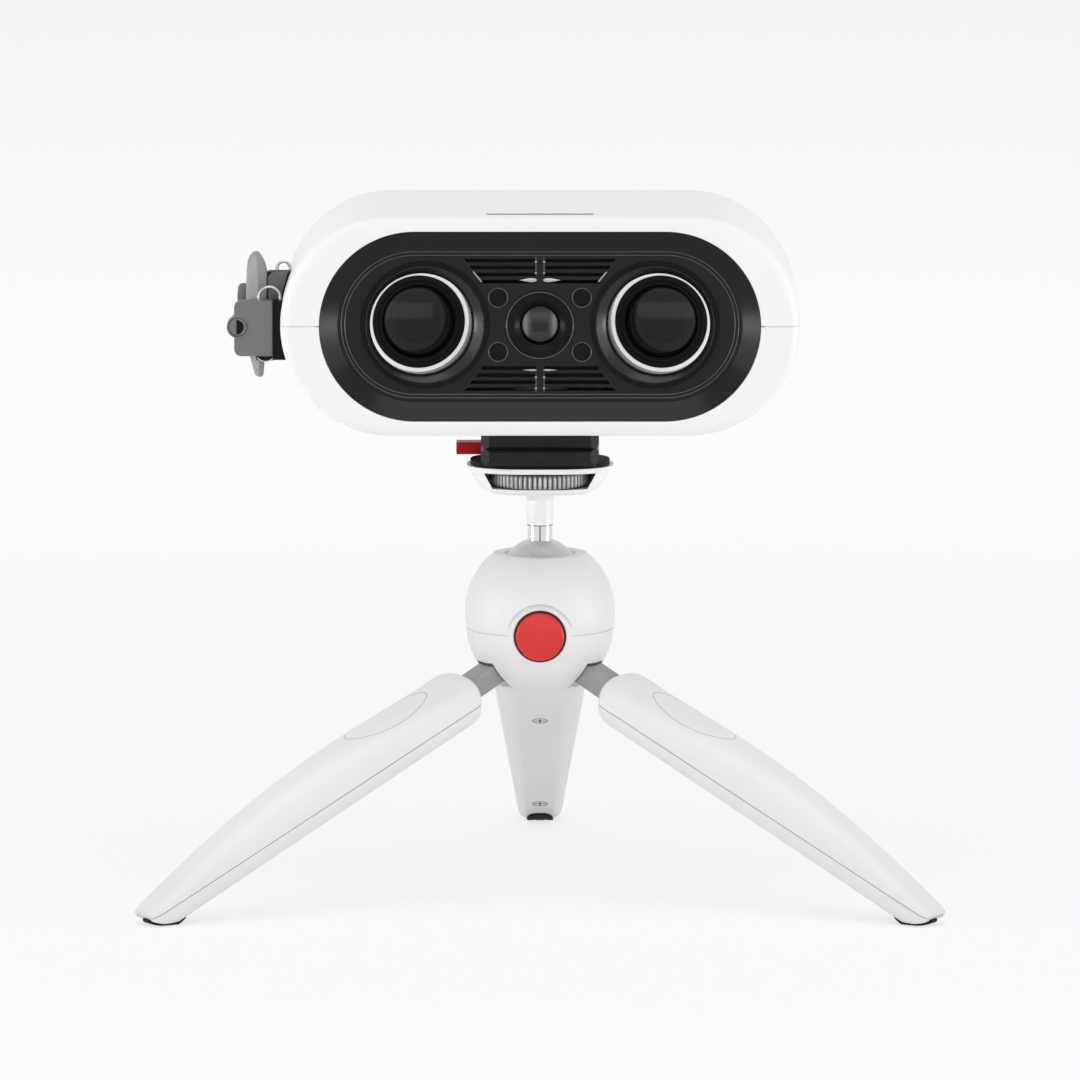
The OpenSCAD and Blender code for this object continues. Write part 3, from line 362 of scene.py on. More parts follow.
# %% [markdown]
# ## Softer edges on the square parts
# A cast block or an anodised plate never has a knife edge: a small radius along each edge catches the light,
# and that thin bright line is what makes it read as metal. A merged copy of the solid with a bevel does this
# without touching the CAD mesh, and the copy stands for the solid in the picture.

# %% Bevelled copies
LEG_TURNS = {"left_leg": 210, "right_leg": 330, "rear_leg": 90}

def soften(node, body, radius_mm, slot):
    """A merged copy of a solid with its flat faces joined and every sharp edge rounded."""
    mesh = solids[node].data.copy()
    mesh.name = node + "_softened"
    work = bmesh.new()
    work.from_mesh(mesh)
    bmesh.ops.remove_doubles(work, verts=work.verts, dist=2e-6)
    bmesh.ops.dissolve_limit(work, angle_limit=math.radians(1.0), verts=work.verts, edges=work.edges)
    work.to_mesh(mesh)
    work.free()
    edge = join(mesh.name, mesh, body, slot, stands_for=node).modifiers.new("edge", "BEVEL")
    edge.width = radius_mm / 1000
    edge.segments = 3
    edge.limit_method = "ANGLE"
    edge.angle_limit = math.radians(SHARP)
    edge.harden_normals = True

soften("clip_block", "head", 0.7, "clip_grey")
for plate in ("release_plate", "release_clamp"):
    soften(plate, "head", 0.3, "release_black")
soften("release_tab", "release_tab", 0.4, "tab_red")
for leg in LEG_TURNS:
    soften(leg + "_arm", leg, 0.9, "arm_metal")

# %% [markdown]
# ## The legs
# Each leg is two mouldings, a rounded shell on top and a flat-bottomed cover below, that meet along a thin
# seam. Along the leg both taper, and both ends are rounded off. The shell's cross-section is half of a
# squared-up oval. The formulas are those of the solids, only with many more points, so the reflections run
# smoothly.

# %% The form of a leg
LEG_START, LEG_LEN, LEG_END = 16.0, 129.0, 145.0
SEAM_N, SEAM = -1.0, 0.3
SKIN, COVER_DEEP, LEG_POWER = 0.04, 6.24, 2.4

def rounding(x):
    """A rounded end: 1 minus the cube of what is left, under a cube root, which rises from 0 to 1 along a
    curve."""
    return (1 - (1 - np.clip(x, 0, 1)) ** 3) ** (1 / 3)

def leg_half(u):
    """Half of the leg's width: a straight taper from 29.6 to 14 mm, rounded off at the root and the tip."""
    s = (u - LEG_START) / LEG_LEN
    return (29.6 - 15.6 * s) / 2 * rounding((u - LEG_START) / 5) * rounding((LEG_END + 1.5 - u) / 8)

def leg_top(u):
    """Height of the shell: highest near the middle, 27 percent lower at the root along half a cosine wave,
    falling towards the tip, and rounded off at the root."""
    s = (u - LEG_START) / LEG_LEN
    root = 1 - 0.27 * (0.5 + 0.5 * np.cos(np.pi * np.clip(s / 0.43, 0, 1)))
    return (1.8 + 8.8 * (1 - np.maximum(0, (s - 0.47) / 0.53) ** 1.8)) * root * rounding((u - LEG_START) / 7)

stations = LEG_START + LEG_LEN * (0.5 - 0.5 * np.cos(np.linspace(0, np.pi, 90)))
print("leg width at root, middle, tip:", np.round(2 * leg_half(np.array([30.0, 80.0, 140.0])), 1))

# %% [markdown]
# A leg hangs on a hinge pin 13 mm from the tripod's axis and falls at 28 degrees to its foot. Its rubber sole
# is flat where it stands and turns up at both ends.

# %% Where a leg stands
HINGE_OUT, HINGE_Z, FALL = 13.0, 71.6734, math.radians(28)
FOOT_OUT, RUBBER = 130.827, 0.95

def about_axis(out, across, z, turn):
    """A place from its distance out along a direction of so many degrees round the tripod's axis, its
    distance across that direction, and its height."""
    c, s = math.cos(math.radians(turn)), math.sin(math.radians(turn))
    return np.stack([out * c - across * s, AXIS_Y + out * s + across * c, z], -1)

def stand_leg(u, across, normal, turn):
    """From a leg's own measures to the object's: the root's end face is pushed back by half of the height
    above the leg's axis, fading over 12 mm, so that it stands upright; the leg then falls from its hinge, and
    is turned round the tripod's axis."""
    u = u - 0.5 * normal * np.clip(1 - (u - LEG_START) / 12, 0, 1)
    out = HINGE_OUT + u * math.cos(FALL) + normal * math.sin(FALL)
    return about_axis(out, across, HINGE_Z - u * math.sin(FALL) + normal * math.cos(FALL), turn), out

def sole(out):
    """Height of the sole: flat for 9 mm where the foot stands, and turned up along a 14 mm circle beyond."""
    return 14 - np.sqrt(14**2 - np.clip(np.abs(out - FOOT_OUT) - 4.5, 0, 14) ** 2)

def on_sole(points, out):
    """Keeps points over the sole, to leave room for the rubber."""
    points[..., 2] = np.maximum(points[..., 2], np.minimum(RUBBER + sole(out), 9))
    return points

print("hinge at height", HINGE_Z, "foot", FOOT_OUT, "mm out")

# %% [markdown]
# The shell is one grid of leg stations by angle. The cover carries a profile of flat facets with soft corners
# along the same stations, and a narrow tongue inside the seam keeps the light out of the gap, as the
# interlocking lip of a moulding does. The rubber foot is let into the end of the leg, so only a thin dark
# crescent shows from the side.

# %% Shell, cover and tongue of a leg

def leg_shell(turn):
    """Half a squared oval (power 2.4) at every station, standing on the seam."""
    angle = np.linspace(0, np.pi, 49)
    u = np.repeat(stations[:, None], angle.size, 1)
    across = (leg_half(u) + SKIN) * swell(np.cos(angle), LEG_POWER)
    normal = SEAM_N + SEAM / 2 + (leg_top(u) + SKIN) * swell(np.abs(np.sin(angle)), LEG_POWER)
    return closed_skin(on_sole(*stand_leg(u, across, normal, turn)))

def cut_corners(outline, times=3):
    """Chaikin's rule: each corner is cut at a quarter of the way to its neighbours, again and again, and the
    two ends stay where they are."""
    for _ in range(times):
        near, far = outline[:-1], outline[1:]
        cut = np.stack([0.75 * near + 0.25 * far, 0.25 * near + 0.75 * far], 1).reshape(-1, 2)
        outline = np.concatenate([outline[:1], cut, outline[-1:]])
    return outline

def leg_cover(turn):
    """Steep sides, sloping flanks and a flat strip underneath, with every corner of the profile softened."""
    side = np.array([(1.0, 0.0), (0.985, 0.3), (0.92, 0.55), (0.6, 1.0), (0.3, 1.0)])
    profile = cut_corners(np.concatenate([side, side[::-1] * [-1, 1]]))
    u = np.repeat(stations[:, None], len(profile), 1)
    normal = SEAM_N - SEAM / 2 - COVER_DEEP * rounding((u - LEG_START) / 5) * profile[:, 1]
    return closed_skin(on_sole(*stand_leg(u, (leg_half(u) + SKIN) * profile[:, 0], normal, turn)))

def leg_tongue(turn):
    """A flat strip 0.6 mm inside the leg's outline, across the seam."""
    u = np.repeat(stations[4:-4, None], 4, 1)
    across = (leg_half(u) - 0.6) * np.array([1, -1, -1, 1])
    normal = SEAM_N + np.array([-0.5, -0.5, 0.5, 0.5]) * np.ones_like(u)
    return closed_skin(on_sole(*stand_leg(u, across, normal, turn)))

print("stations along a leg:", len(stations))

# %% Foot of a leg, and all three legs

def foot_plug(turn):
    """A rubber sole with a squared oval outline. Its top lies in the leg: 1.2 mm over the sole, and at the
    inner end along the cover, which climbs as the leg does. Its underside is the sole, then stays 0.8 mm
    under the cover, and closes up towards both ends."""
    plan, middle, cover_end = oval(6.9, 4.3, 3.0, 96), 133.2, 130.27
    scale = np.array([0.02, 0.4, 0.7, 0.9, 0.97, 1.0, 1.0, 0.97, 0.7, 0.4, 0.02])[:, None]
    level = np.array([0, 0, 0, 0, 0.06, 0.3, 0.7, 1, 1, 1, 1])[:, None]
    out, across = middle + scale * plan[:, 0], scale * plan[:, 1]
    cover = RUBBER + (cover_end - out) * math.tan(FALL)
    top = np.maximum(1.2 + sole(out), cover + 0.25)
    thin = rounding((out - middle + 7.0) / 2.5) * rounding((middle + 7.0 - out) / 1.6)
    low = np.maximum(sole(out), cover - 0.8) * thin + (top - 0.3) * (1 - thin)
    return closed_skin(about_axis(out, across, low + level * (top - low), turn))

for leg, turn in LEG_TURNS.items():
    new_piece(leg + "_smooth_shell", [leg_shell(turn)], leg, "leg_white", stands_for=leg + "_shell")
    new_piece(leg + "_smooth_cover", [leg_cover(turn)], leg, "leg_white", sharp=60, stands_for=leg + "_cover")
    new_piece(leg + "_tongue", [leg_tongue(turn)], leg, "leg_white")
    new_piece(leg + "_foot_plug", [foot_plug(turn)], leg, "foot_rubber", stands_for=leg + "_foot")

# %% [markdown]
# ## Thumb pads and cover screws
# An oval pad is let into the top of each leg, where a thumb presses to fold it. Its outline shows as a fine
# groove, drawn as a grey wire of painted shade. To lie on the leg, the pad takes its height from the same
# formula as the shell, turned round: from a place on the leg to the height there. The two screws in each
# cover have a cross recess, drawn as a thin dark plate with four arms: painted shade.

# %% Pads and grooves
PAD_U, PAD_HALF_LEN, PAD_HALF_WIDTH = 43.5, 15.0, 8.0

def shell_height(u, across):
    """Height of the shell over a place: the cosine that the width needs, then the sine that goes with it."""
    cosine = np.clip(np.abs(across) / leg_half(u), 0, 1) ** (LEG_POWER / 2)
    return SEAM_N + SEAM / 2 + leg_top(u) * swell(np.sqrt(1 - cosine**2), LEG_POWER)

def thumb_pad(turn):
    """An oval of 30 by 16 mm that follows the shell 0.15 mm above it and rolls under at its rim."""
    ring = np.concatenate([np.linspace(0.02, 0.96, 16), [0.99, 1.0, 1.0]])[:, None]
    lift = np.concatenate([np.full(16, 0.15), [0.1, 0.0, -0.8]])[:, None]
    plan = oval(PAD_HALF_LEN, PAD_HALF_WIDTH, 2, 96)
    u, across = PAD_U + ring * plan[None, :, 0], ring * plan[None, :, 1]
    return closed_skin(stand_leg(u, across, shell_height(u, across) + lift, turn)[0])

def pad_groove(turn):
    """A fine line round the pad: a grey wire of painted shade, half sunk in the shell."""
    plan = oval(PAD_HALF_LEN + 0.2, PAD_HALF_WIDTH + 0.2, 2, 120)
    u, across = PAD_U + plan[:, 0], plan[:, 1]
    path, _ = stand_leg(u, across, shell_height(u, across) - 0.06, turn)
    up, _ = stand_leg(np.array([60.0, 60.0]), np.zeros(2), np.array([0.0, 1.0]), turn)
    return wire(path, 0.17, up[1] - up[0], ring=True, count=8)

finish("groove_shade", (0.42, 0.42, 0.42), 0.05, 6, 0.6, 0.05)
print("pad", 2 * PAD_HALF_LEN, "by", 2 * PAD_HALF_WIDTH, "mm")

# %% Screws in the covers
SCREWS_U = (42.0, 123.0)

def round_stack(turn, u, radius, level):
    """Rings of the given radii (one number, or one for each angle) at levels square to the leg, about a
    screw."""
    angle = all_round(64)
    level = np.array(level)[:, None] + 0 * angle
    radius = np.array(radius) + 0 * level
    return stand_leg(u + radius * np.cos(angle), radius * np.sin(angle), level, turn)[0]

def screw_head(turn, u):
    """A dished head: level at the rim, sunk by 0.3 mm towards its middle."""
    return closed_skin(round_stack(turn, u, [[0.2], [1.1], [1.9], [2.15], [2.2]],
                                   [-7.2, -7.22, -7.42, -7.46, -7.0]))

def cross_recess_shade(turn, u):
    """A cross of painted shade: a thin dark plate whose radius swings from 0.4 to 1.55 mm four times round.
    """
    arm = 0.4 + 1.15 * np.abs(np.cos(2 * all_round(64))) ** 6
    return closed_skin(round_stack(turn, u, np.stack([arm, arm]), [-7.45, -7.1]))

def screw_gap(turn, u):
    """The shadow round a head: a flat dark ring."""
    outline = [[2.15], [2.55], [2.55], [2.15]]
    return closed_skin(round_stack(turn, u, outline, [-7.41, -7.41, -7.2, -7.2]), ring=True)

finish("screw_grey", (0.3, 0.3, 0.3), 0.08, 2, 0.3, 0.06, 0.15, 0.003, Metallic=0.8)
for leg, turn in LEG_TURNS.items():
    makers = (screw_head, cross_recess_shade, screw_gap)
    heads, cross_shades, gaps = ([make(turn, u) for u in SCREWS_U] for make in makers)
    new_piece(leg + "_thumb_pad", [thumb_pad(turn)], leg, "leg_white", stands_for=leg + "_grip")
    new_piece(leg + "_pad_groove", [pad_groove(turn)], leg, "leg_white", look="groove_shade")
    new_piece(leg + "_screw_heads", heads, leg, "screw_dark", look="screw_grey", stands_for=leg + "_screws")
    new_piece(leg + "_screw_cross_shade", cross_shades, leg, "screw_dark")
    new_piece(leg + "_screw_gaps", gaps, leg, "screw_dark", look="groove_shade")

# %% [markdown]
# ## The front lenses
# Each front lens is a shallow dome on an axis that leans 8 degrees towards the middle. It is turned on the
# lathe again with many more points than the solid has, because a polished dome shows every facet. Its colour
# is painted paler in a broad band near its edge and in thin rings, a painted glow and painted glints of the
# mount behind it, and a retaining ring with two fine steps frames it.

# %% Lens domes and rings on both sides
CAM_Z, LENS_X, RING_Y = 181.6734, 37.4, -28 + AXIS_Y
LEAN = math.radians(8)
SIDES = {"left": -1, "right": 1}

def lens_axis(sign):
    """The middle of a barrel's ring light, and where it looks: forward, leaning towards the other lens."""
    centre = np.array([sign * LENS_X, RING_Y, CAM_Z])
    return centre, np.array([-sign * math.sin(LEAN), -math.cos(LEAN), 0.0])

def glass(radius, low, edge, bulge):
    """A domed disc: a flat back, a straight edge, and a front that is part of a sphere of the given bulge."""
    sphere = (radius**2 + bulge**2) / (2 * bulge)
    r = np.linspace(radius, 0, 60)
    height = low + edge + np.sqrt(sphere**2 - r**2) - sphere + bulge
    return [(0, low), (radius, low)] + list(zip(r, height))

def painted_glow_rings(away):
    """Bell curves of the distance from the axis, each about a ring's radius, with a width and a height. They
    paint the glass paler: a painted glow and painted glints of the mount.
    """
    rings = ((9.0, 1.3, 0.3), (9.7, 0.25, 0.4), (7.4, 0.3, 0.25), (5.2, 0.3, 0.12))
    return sum(high * np.exp(-(((away - radius) / wide) ** 2)) for radius, wide, high in rings)

retainer = [(11.65, -0.1), (11.65, 0.22), (11.85, 0.42), (12.4, 0.42), (12.55, 0.25), (12.55, -0.1)]
inner_step = [(12.85, -0.1), (12.85, 0.12), (12.95, 0.2), (14.2, 0.2), (14.35, 0.1), (14.35, -0.17)]
for side, sign in SIDES.items():
    centre, axis = lens_axis(sign)
    dome = turned(glass(11.4, -4.0, 1.6, 2.0), centre, axis, count=128)
    lens_dome = new_piece(side + "_front_glass", [dome], "head", "lens_glass", stands_for=side + "_lens")
    away = np.linalg.norm(np.cross(points_of(lens_dome) - centre, axis), axis=1)
    keep(lens_dome, "behind", painted_glow_rings(away))
    steps = [turned(profile, centre, axis, True) for profile in (retainer, inner_step)]
    new_piece(side + "_retainer", steps, "head", "barrel_black", sharp=30)

# %% [markdown]
# Each barrel opens in a horn that is cut off by the flat front plane. As the lens leans, the horn is deeper
# towards the middle. Its liner runs straight up the barrel and then flares at 50 degrees, and with the lean
# this flare faces the light at the far side: the inner half of each horn shows a grey crescent, the outer
# half stays black.

# %% Horn liners
HORN_R, TO_FRONT, CONE, FLARE = 15.6, 8.6, 0.29, 1.19

def soft_rise(past):
    """A straight rise past zero with a rounded corner: half of the sum of the value and the root of its
    square plus a little."""
    return 0.5 * (past + np.sqrt(past**2 + 0.36))

def horn(sign, share, flare):
    """Points about the leaning axis. The depth of the front plane follows from where the leaning circle meets
    it. The radius stays the same up to the flare and then gains 1.19 mm per mm, with a soft bend, or follows
    the barrel's own cone where flare is false. Share is 0 at the ring light and 1 at the front plane."""
    angle = all_round(128)
    slant = -sign * math.sin(LEAN) * np.cos(angle)
    deep = (TO_FRONT + HORN_R * slant) / (math.cos(LEAN) - CONE * slant)
    h = np.array(share)[:, None] * deep
    wide = CONE * deep
    bend = soft_rise(h - deep + wide / FLARE) / soft_rise(wide / FLARE)
    r = HORN_R - 0.05 + bend * wide if flare else HORN_R - 0.01 + CONE * h
    centre, axis = lens_axis(sign)
    up = np.array([0.0, 0.0, 1.0])
    side = np.cross(up, axis)
    flat = (r * np.cos(angle))[..., None] * side + (r * np.sin(angle))[..., None] * up
    return centre + flat + h[..., None] * axis

finish("horn_satin", (0.006, 0.0062, 0.0066), 0.15, 7, 0.26, 0.03, 0.25, 0.002, Specular_IOR_Level=0.4)
share = np.concatenate([[0.02, 0.3, 0.5], np.linspace(0.6, 0.998, 30)])
for side, sign in SIDES.items():
    liner = closed_skin(np.concatenate([horn(sign, share, True), horn(sign, share[::-1], False)]), ring=True)
    new_piece(side + "_horn_liner", [liner], "head", "barrel_black", look="horn_satin", sharp=50)
    mouth = wire(horn(sign, [0.985], True)[0], 0.13, (0, 1, 0), True, 10)
    new_piece(side + "_horn_mouth", [mouth], "head", "barrel_black", look="horn_satin")

# %% [markdown]
# ## The projector in the middle
# The middle barrel throws a measuring pattern through a small lens. Its glass is painted with the grey
# diffuser and square mask behind it, and painted highlights make it paler towards both sides. On the rim of
# the barrel a thin polished edge catches the light, and so do the rims of the four screw holes.

# %% Projector and hole rims
OPTICS_Y = -36 + AXIS_Y
FRONT = (0.0, -1.0, 0.0)
finish("gloss_edge", (0.02, 0.02, 0.021), 0.1, 4, 0.16, 0.03, 0.3, 0.002,
       Specular_IOR_Level=0.7, Coat_Weight=0.5, Coat_Roughness=0.1)
finish("lit_glass", (0.1, 0.1, 0.1), 0.1, 4, 0.12, 0.015, 4.0, 0.0, Specular_IOR_Level=0.25)
tinted("lit_glass", "behind", (0.004, 0.0042, 0.0048), (0.26, 0.262, 0.266))
finish("bright_trim", (0.4, 0.4, 0.4), 0.05, 3, 0.3, 0.04, 0.2, 0.002, Metallic=1.0)

def rim(radius, height, thick, centre):
    """A ring of round section: a small circle carried round the axis at the given radius and height."""
    a = all_round(12)
    section = np.stack([radius + thick * np.cos(a), height + thick * np.sin(a)], -1)
    return turned(section, centre, FRONT, True)

def ramp_up(value, wide):
    """0 below zero, 1 above it, and a straight ramp of the given width between."""
    return np.clip(0.5 + value / wide, 0, 1)

middle = (0.0, OPTICS_Y, CAM_Z)
dome = turned(glass(6.2, -2.6, 1.2, 0.9), middle, FRONT, count=128)
small_dome = new_piece("projector_glass", [dome], "head", "lens_glass", look="lit_glass",
                       stands_for="projector_lens")
# The behind value paints the diffuser and mask behind the glass, with painted highlights at both sides.
x, _, z = np.abs(points_of(small_dome) - middle).T
diffuser = ramp_up(5.3 - np.hypot(x, z), 0.4)
square = ramp_up(2.5 - x, 0.4) * ramp_up(2.2 - z, 0.4)
keep(small_dome, "behind", diffuser * (0.13 - 0.08 * square + 0.75 * ramp_up(x - 3.4, 1.7) ** 2))
new_piece("projector_rims", [rim(10.25, 1.28, 0.22, middle)], "head", "barrel_black", look="gloss_edge")
holes = [(x, OPTICS_Y, CAM_Z + z) for x in (-12.9, 12.9) for z in (-8.4, 8.4)]
hole_rims = [rim(2.95, 0.02, 0.2, hole) for hole in holes]
new_piece("screw_hole_rims", hole_rims, "head", "barrel_black", look="gloss_edge")

# %% [markdown]
# ## Lips of the funnel and the vents
# Where the funnel meets the lens plate there are two fine raised lips. They follow a racetrack: two half
# circles joined by straights. Above and below the projector the plate has slatted vents, framed by sloping
# edges, with a double rib down the middle and small polished wedges where the ribs end.

# %% Racetrack lips

def racetrack(half, radius, y, count=200):
    """Two half circles whose centres are 2 x half apart, joined by straights: the angle gives the direction,
    and the side of the circle decides which centre it starts from."""
    angle = all_round(count) + np.pi / count
    x = radius * np.cos(angle) + half * np.sign(np.cos(angle))
    return np.stack([x, np.full(count, y), CAM_Z + radius * np.sin(angle)], -1)

lips = [wire(racetrack(38.6, r, OPTICS_Y - 0.02), 0.2, (0, 1, 0), True, 10) for r in (22.7, 21.6)]
new_piece("funnel_lips", lips, "head", "bezel_black", look="gloss_edge")

# %% Vent frames, ribs and wedges
RIB_X = 1.25

def bar(start, end, radius):
    """A thin straight wire between two (x, z) places on the plate's face, its ends tapered to nothing."""
    t = np.linspace(0, 1, 24)[:, None]
    x, z = (np.array(start) * (1 - t) + np.array(end) * t).T
    taper = radius * (1 - (2 * t[:, 0] - 1) ** 8 * 0.9)
    return wire(np.stack([x, np.full(24, OPTICS_Y - 0.05), CAM_Z + z], -1), taper, (0, 1, 0), count=10)

def wedge(sign, z, length, height):
    """A teardrop: a sine, times the power 0.8 of the way from the tip, so that one end is round."""
    t = all_round(48)
    x = sign * (1.0 + length * (0.5 + 0.5 * np.cos(t)))
    z = CAM_Z + z + height * np.sin(t) * (0.5 - 0.5 * np.cos(t)) ** 0.8
    return stamped(np.stack([x, z], -1), OPTICS_Y - 0.35, OPTICS_Y + 0.1, 0.12)

frames, ribs, wedges = [], [], []
for sign in SIDES.values():
    top_corner, low_corner = (sign * 24.6, 21.6), (sign * 24.6, -21.6)
    turn_in = (sign * 20.6, 16.6)
    frames.append(bar(turn_in, (sign * 17.9, 13.2), 0.26))
    ribs += [bar(top_corner, turn_in, 0.2), bar(low_corner, (sign * 17.9, -13.2), 0.2)]
    ribs += [bar((sign * RIB_X, way * 14.6), (sign * RIB_X, way * 21.8), 0.3) for way in (1, -1)]
    wedges += [wedge(sign, 13.9, 5.6, 0.95), wedge(sign, -14.0, 4.6, 0.4)]
new_piece("vent_frames", frames, "head", "bezel_black", look="bright_trim")
new_piece("vent_ribs", ribs, "head", "bezel_black", look="horn_satin")
new_piece("vent_wedges", wedges, "head", "bezel_black", look="bright_trim")
rivet = [(0, 0.2), (0.28, 0.3), (0.4, 0.1), (0.4, -0.1)]
dots = [turned(rivet, (sign * RIB_X, OPTICS_Y - 0.3, CAM_Z + z), FRONT, count=24)
        for sign in SIDES.values() for z in (16.2, 19.6, -16.2, -19.6)]
new_piece("vent_rivets", dots, "head", "bezel_black", look="bright_trim")

# %% [markdown]
# ## The window on top
# On the casing's top edge there is a thin dark slit, a window for a lamp or a receiver. The solid has the
# slot, and a smoked strip fills it.

# %% Smoked strip
CASING_TOP = CAM_Z + 34.2
strip = oval(16.35, 1.85, 9, 96)
x, y = strip[:, 0], strip[:, 1] + AXIS_Y - 34.9
levels = [np.stack([x, y, np.full(96, CASING_TOP - deep)], -1) for deep in (1.15, 0.45, 0.35)]
new_piece("top_window", [closed_skin(np.stack(levels))], "head", "barrel_black")

# %% [markdown]
# ## The clip's lever
# The grey lever on the casing's side has a tall fin with a ridge down its front: the face on the left of the
# ridge is lit and the one on the right falls away. It is a loft of nine-cornered sections from the tail to
# the fin's tip, rounded by subdivision; corners that lie close together keep the ridge crisp.

# %% Ridged lever
BASE_X, CLIP_Y, CLIP_Z = -82.6, -15 + AXIS_Y, 178.4734
BACK = 4.6
height = np.array([-15.9, -15.6, -13.5, -10.0, -6.0, 0.0, 5.0, 9.0, 13.0, 17.0, 20.2, 22.2, 23.1, 23.2])
left = np.array([-5.2, -5.7, -6.3, -7.2, -8.4, -8.8, -8.6, -8.5, -8.4, -8.3, -8.0, -7.2, -6.1, -5.7])
right = np.array([-3.6, -3.1, -2.9, -2.6, -2.4, -2.4, -2.2, -1.9, -1.7, -1.65, -2.5, -3.6, -4.6, -5.0])
front_y = np.array([1.6, 0.9, 0.5, 0.4, 0.4, 0.4, 0.35, 0.3, 0.3, 0.3, 0.4, 0.9, 1.6, 1.9])
ridge = left * 0.44 + right * 0.56

def corner(x, deep):
    """One corner of all the sections: its place across, and so far behind the fin's front."""
    return np.stack([x, np.minimum(front_y + deep, BACK - 0.3)], -1)

back_corners = [np.stack([x, np.full(len(x), BACK)], -1) for x in (right, left)]
sections = np.stack([
    corner(left, 2.4), corner(left * 0.97 + ridge * 0.03, 2.0), corner(ridge * 0.93 + left * 0.07, 0.2),
    corner(ridge, 0.0), corner(ridge * 0.93 + right * 0.07, 0.22), corner(right * 0.97 + ridge * 0.03, 0.8),
    corner(right, 1.2), *back_corners], 1)
grid = np.concatenate([sections, np.repeat(height[:, None, None], 9, 1)], -1) + [BASE_X, CLIP_Y, CLIP_Z]
finish("lever_grey", (0.29, 0.293, 0.297), 0.06, 6, 0.42, 0.07, 0.25, 0.008)
lever = new_piece("ridged_lever", [closed_skin(grid)], "clip_lever", "clip_grey", look="lever_grey",
                  sharp=180, stands_for="clip_lever")
smooth = lever.modifiers.new("smooth", "SUBSURF")
smooth.levels = smooth.render_levels = 3

# %% [markdown]
# The lever's hub turns on the pin, inside a thin washer, and a thin dark half disc on its end is the painted
# shade of a half-round socket. Beside the fin a web joins the base to the ear that carries the rear wire. A
# lug stands behind the fin, and a small hook under the block holds the end of a wire.

# %% Hub, web, lug, hook and washer
HUB_X, HUB_Z = -93.4, 0.5

def clip_plate(outline, low, high, edge=0.0):
    """A stamped part of the clip. Heights and depths are measured from the clip's middle."""
    return [stamped(np.array(outline) + [0, CLIP_Z], CLIP_Y + low, CLIP_Y + high, edge)]

hub_middle = (HUB_X, CLIP_Y, CLIP_Z + HUB_Z)
hub = turned([(0, -5.2), (2.5, -5.2), (2.9, -4.8), (2.9, 1.0), (0, 1.0)], hub_middle, (0, 1, 0), count=64)
new_piece("lever_hub", [hub], "clip_lever", "clip_grey")
turn = np.linspace(-np.pi / 2, np.pi / 2, 40)
half_disc = np.stack([HUB_X - 0.5 + 2.3 * np.cos(turn), HUB_Z + 2.3 * np.sin(turn)], -1)
new_piece("hub_socket_shade", clip_plate(half_disc, -5.24, -5.1), "clip_lever", "clip_dark")
finish("web_grey", (0.115, 0.116, 0.118), 0.08, 5, 0.45, 0.07, 0.25, 0.008, Specular_IOR_Level=0.3)
web = [(-90, -6), (-90, 4), (-88, 10), (-86.2, 15.2), (-84.4, 16.8), (-80.5, 17), (-79, 13), (-80, 6),
       (-81, -6)]
new_piece("clip_web", clip_plate(web, 4.9, 6.2, 0.3), "head", "clip_dark", look="web_grey")
shelf = [(-84.1, 8.2), (-84.1, 15.6), (-83.0, 16.9), (-79.6, 17.1), (-78.0, 17.1), (-79.2, 12.6),
         (-80.4, 8.2)]
new_piece("ear_cover", clip_plate(shelf, 0.1, 1.0, 0.25), "head", "clip_dark", look="web_grey")
lug = oval(1.9, 4.8, 3) + [-91.9, 8.2]
new_piece("clip_lug", clip_plate(lug, 4.8, 6.3, 0.5), "head", "clip_grey")
hook = oval(3.1, 1.0, 3) + [-84.9, -9.2]
new_piece("clip_hook", clip_plate(hook, -3.6, -1.8, 0.3), "head", "clip_dark")
x = np.linspace(-87.6, -82.2, 30)
hook_wire = np.stack([x, np.full(30, CLIP_Y - 3.5), CLIP_Z - 10.3 + 0.17 * (x + 85.0) ** 2], -1)
new_piece("clip_hook_wire", [wire(hook_wire, 0.24, (0, 1, 0))], "head", "wire_steel")
washer = [(2.95, 0.05), (2.95, 5.06), (3.1, 5.12), (3.35, 5.12), (3.45, 5.02), (3.45, 0.05)]
new_piece("hub_washer", [turned(washer, hub_middle, FRONT, True)], "head", "clip_grey")

# %% [markdown]
# ## The knurled wheel
# The silver wheel under the platform is turned by a thumb, so its edge has 60 rounded ribs. The radius swings
# with the cosine of 60 times the angle. How deep a point lies between the ribs is kept as an attribute of the
# mesh, and the finish reads it to darken the grooves: painted shade where the ribs hide each other from the
# light. Two dark blades close the corners of the window beside the wheel, as painted shade of the platform's
# inside.

# %% Ribbed wheel
WHEEL_R, RIB_LIFT, RIB_COUNT = 14.75, 0.6, 60
angle = all_round(720)
rib = WHEEL_R + RIB_LIFT * (0.5 + 0.5 * np.cos(RIB_COUNT * angle)) ** 0.7
level = np.array([127.4, 127.4, 127.8, 128.6, 129.6, 130.6, 131.4, 131.75, 131.75])
inset = np.array([6.0, 0.5, 0.1, 0.0, 0.0, 0.0, 0.1, 0.5, 6.0])
radius = rib[None] - inset[:, None]
grid = np.stack([radius * np.cos(angle), AXIS_Y + radius * np.sin(angle), level[:, None] + 0 * radius], -1)
wheel = new_piece("ribbed_wheel", [closed_skin(grid)], "thumb_wheel", "wheel_silver", sharp=60,
                  stands_for="thumb_wheel")
spot = points_of(wheel)
height_in_rib = (np.hypot(spot[:, 0], spot[:, 1] - AXIS_Y) - WHEEL_R) / RIB_LIFT
# The rib value darkens the grooves in the finish: painted shade.
keep(wheel, "rib", (height_in_rib - 0.25) / 0.5)
tinted("wheel_silver", "rib", (0.12, 0.121, 0.122), (0.45, 0.453, 0.456))

# %% Blades of painted shade in the window's corners
WINDOW_HALF, WINDOW_LOW, WINDOW_SLOPE, POCKET_R = 14.75, 126.97, 2.6 / 5.2, 15.74

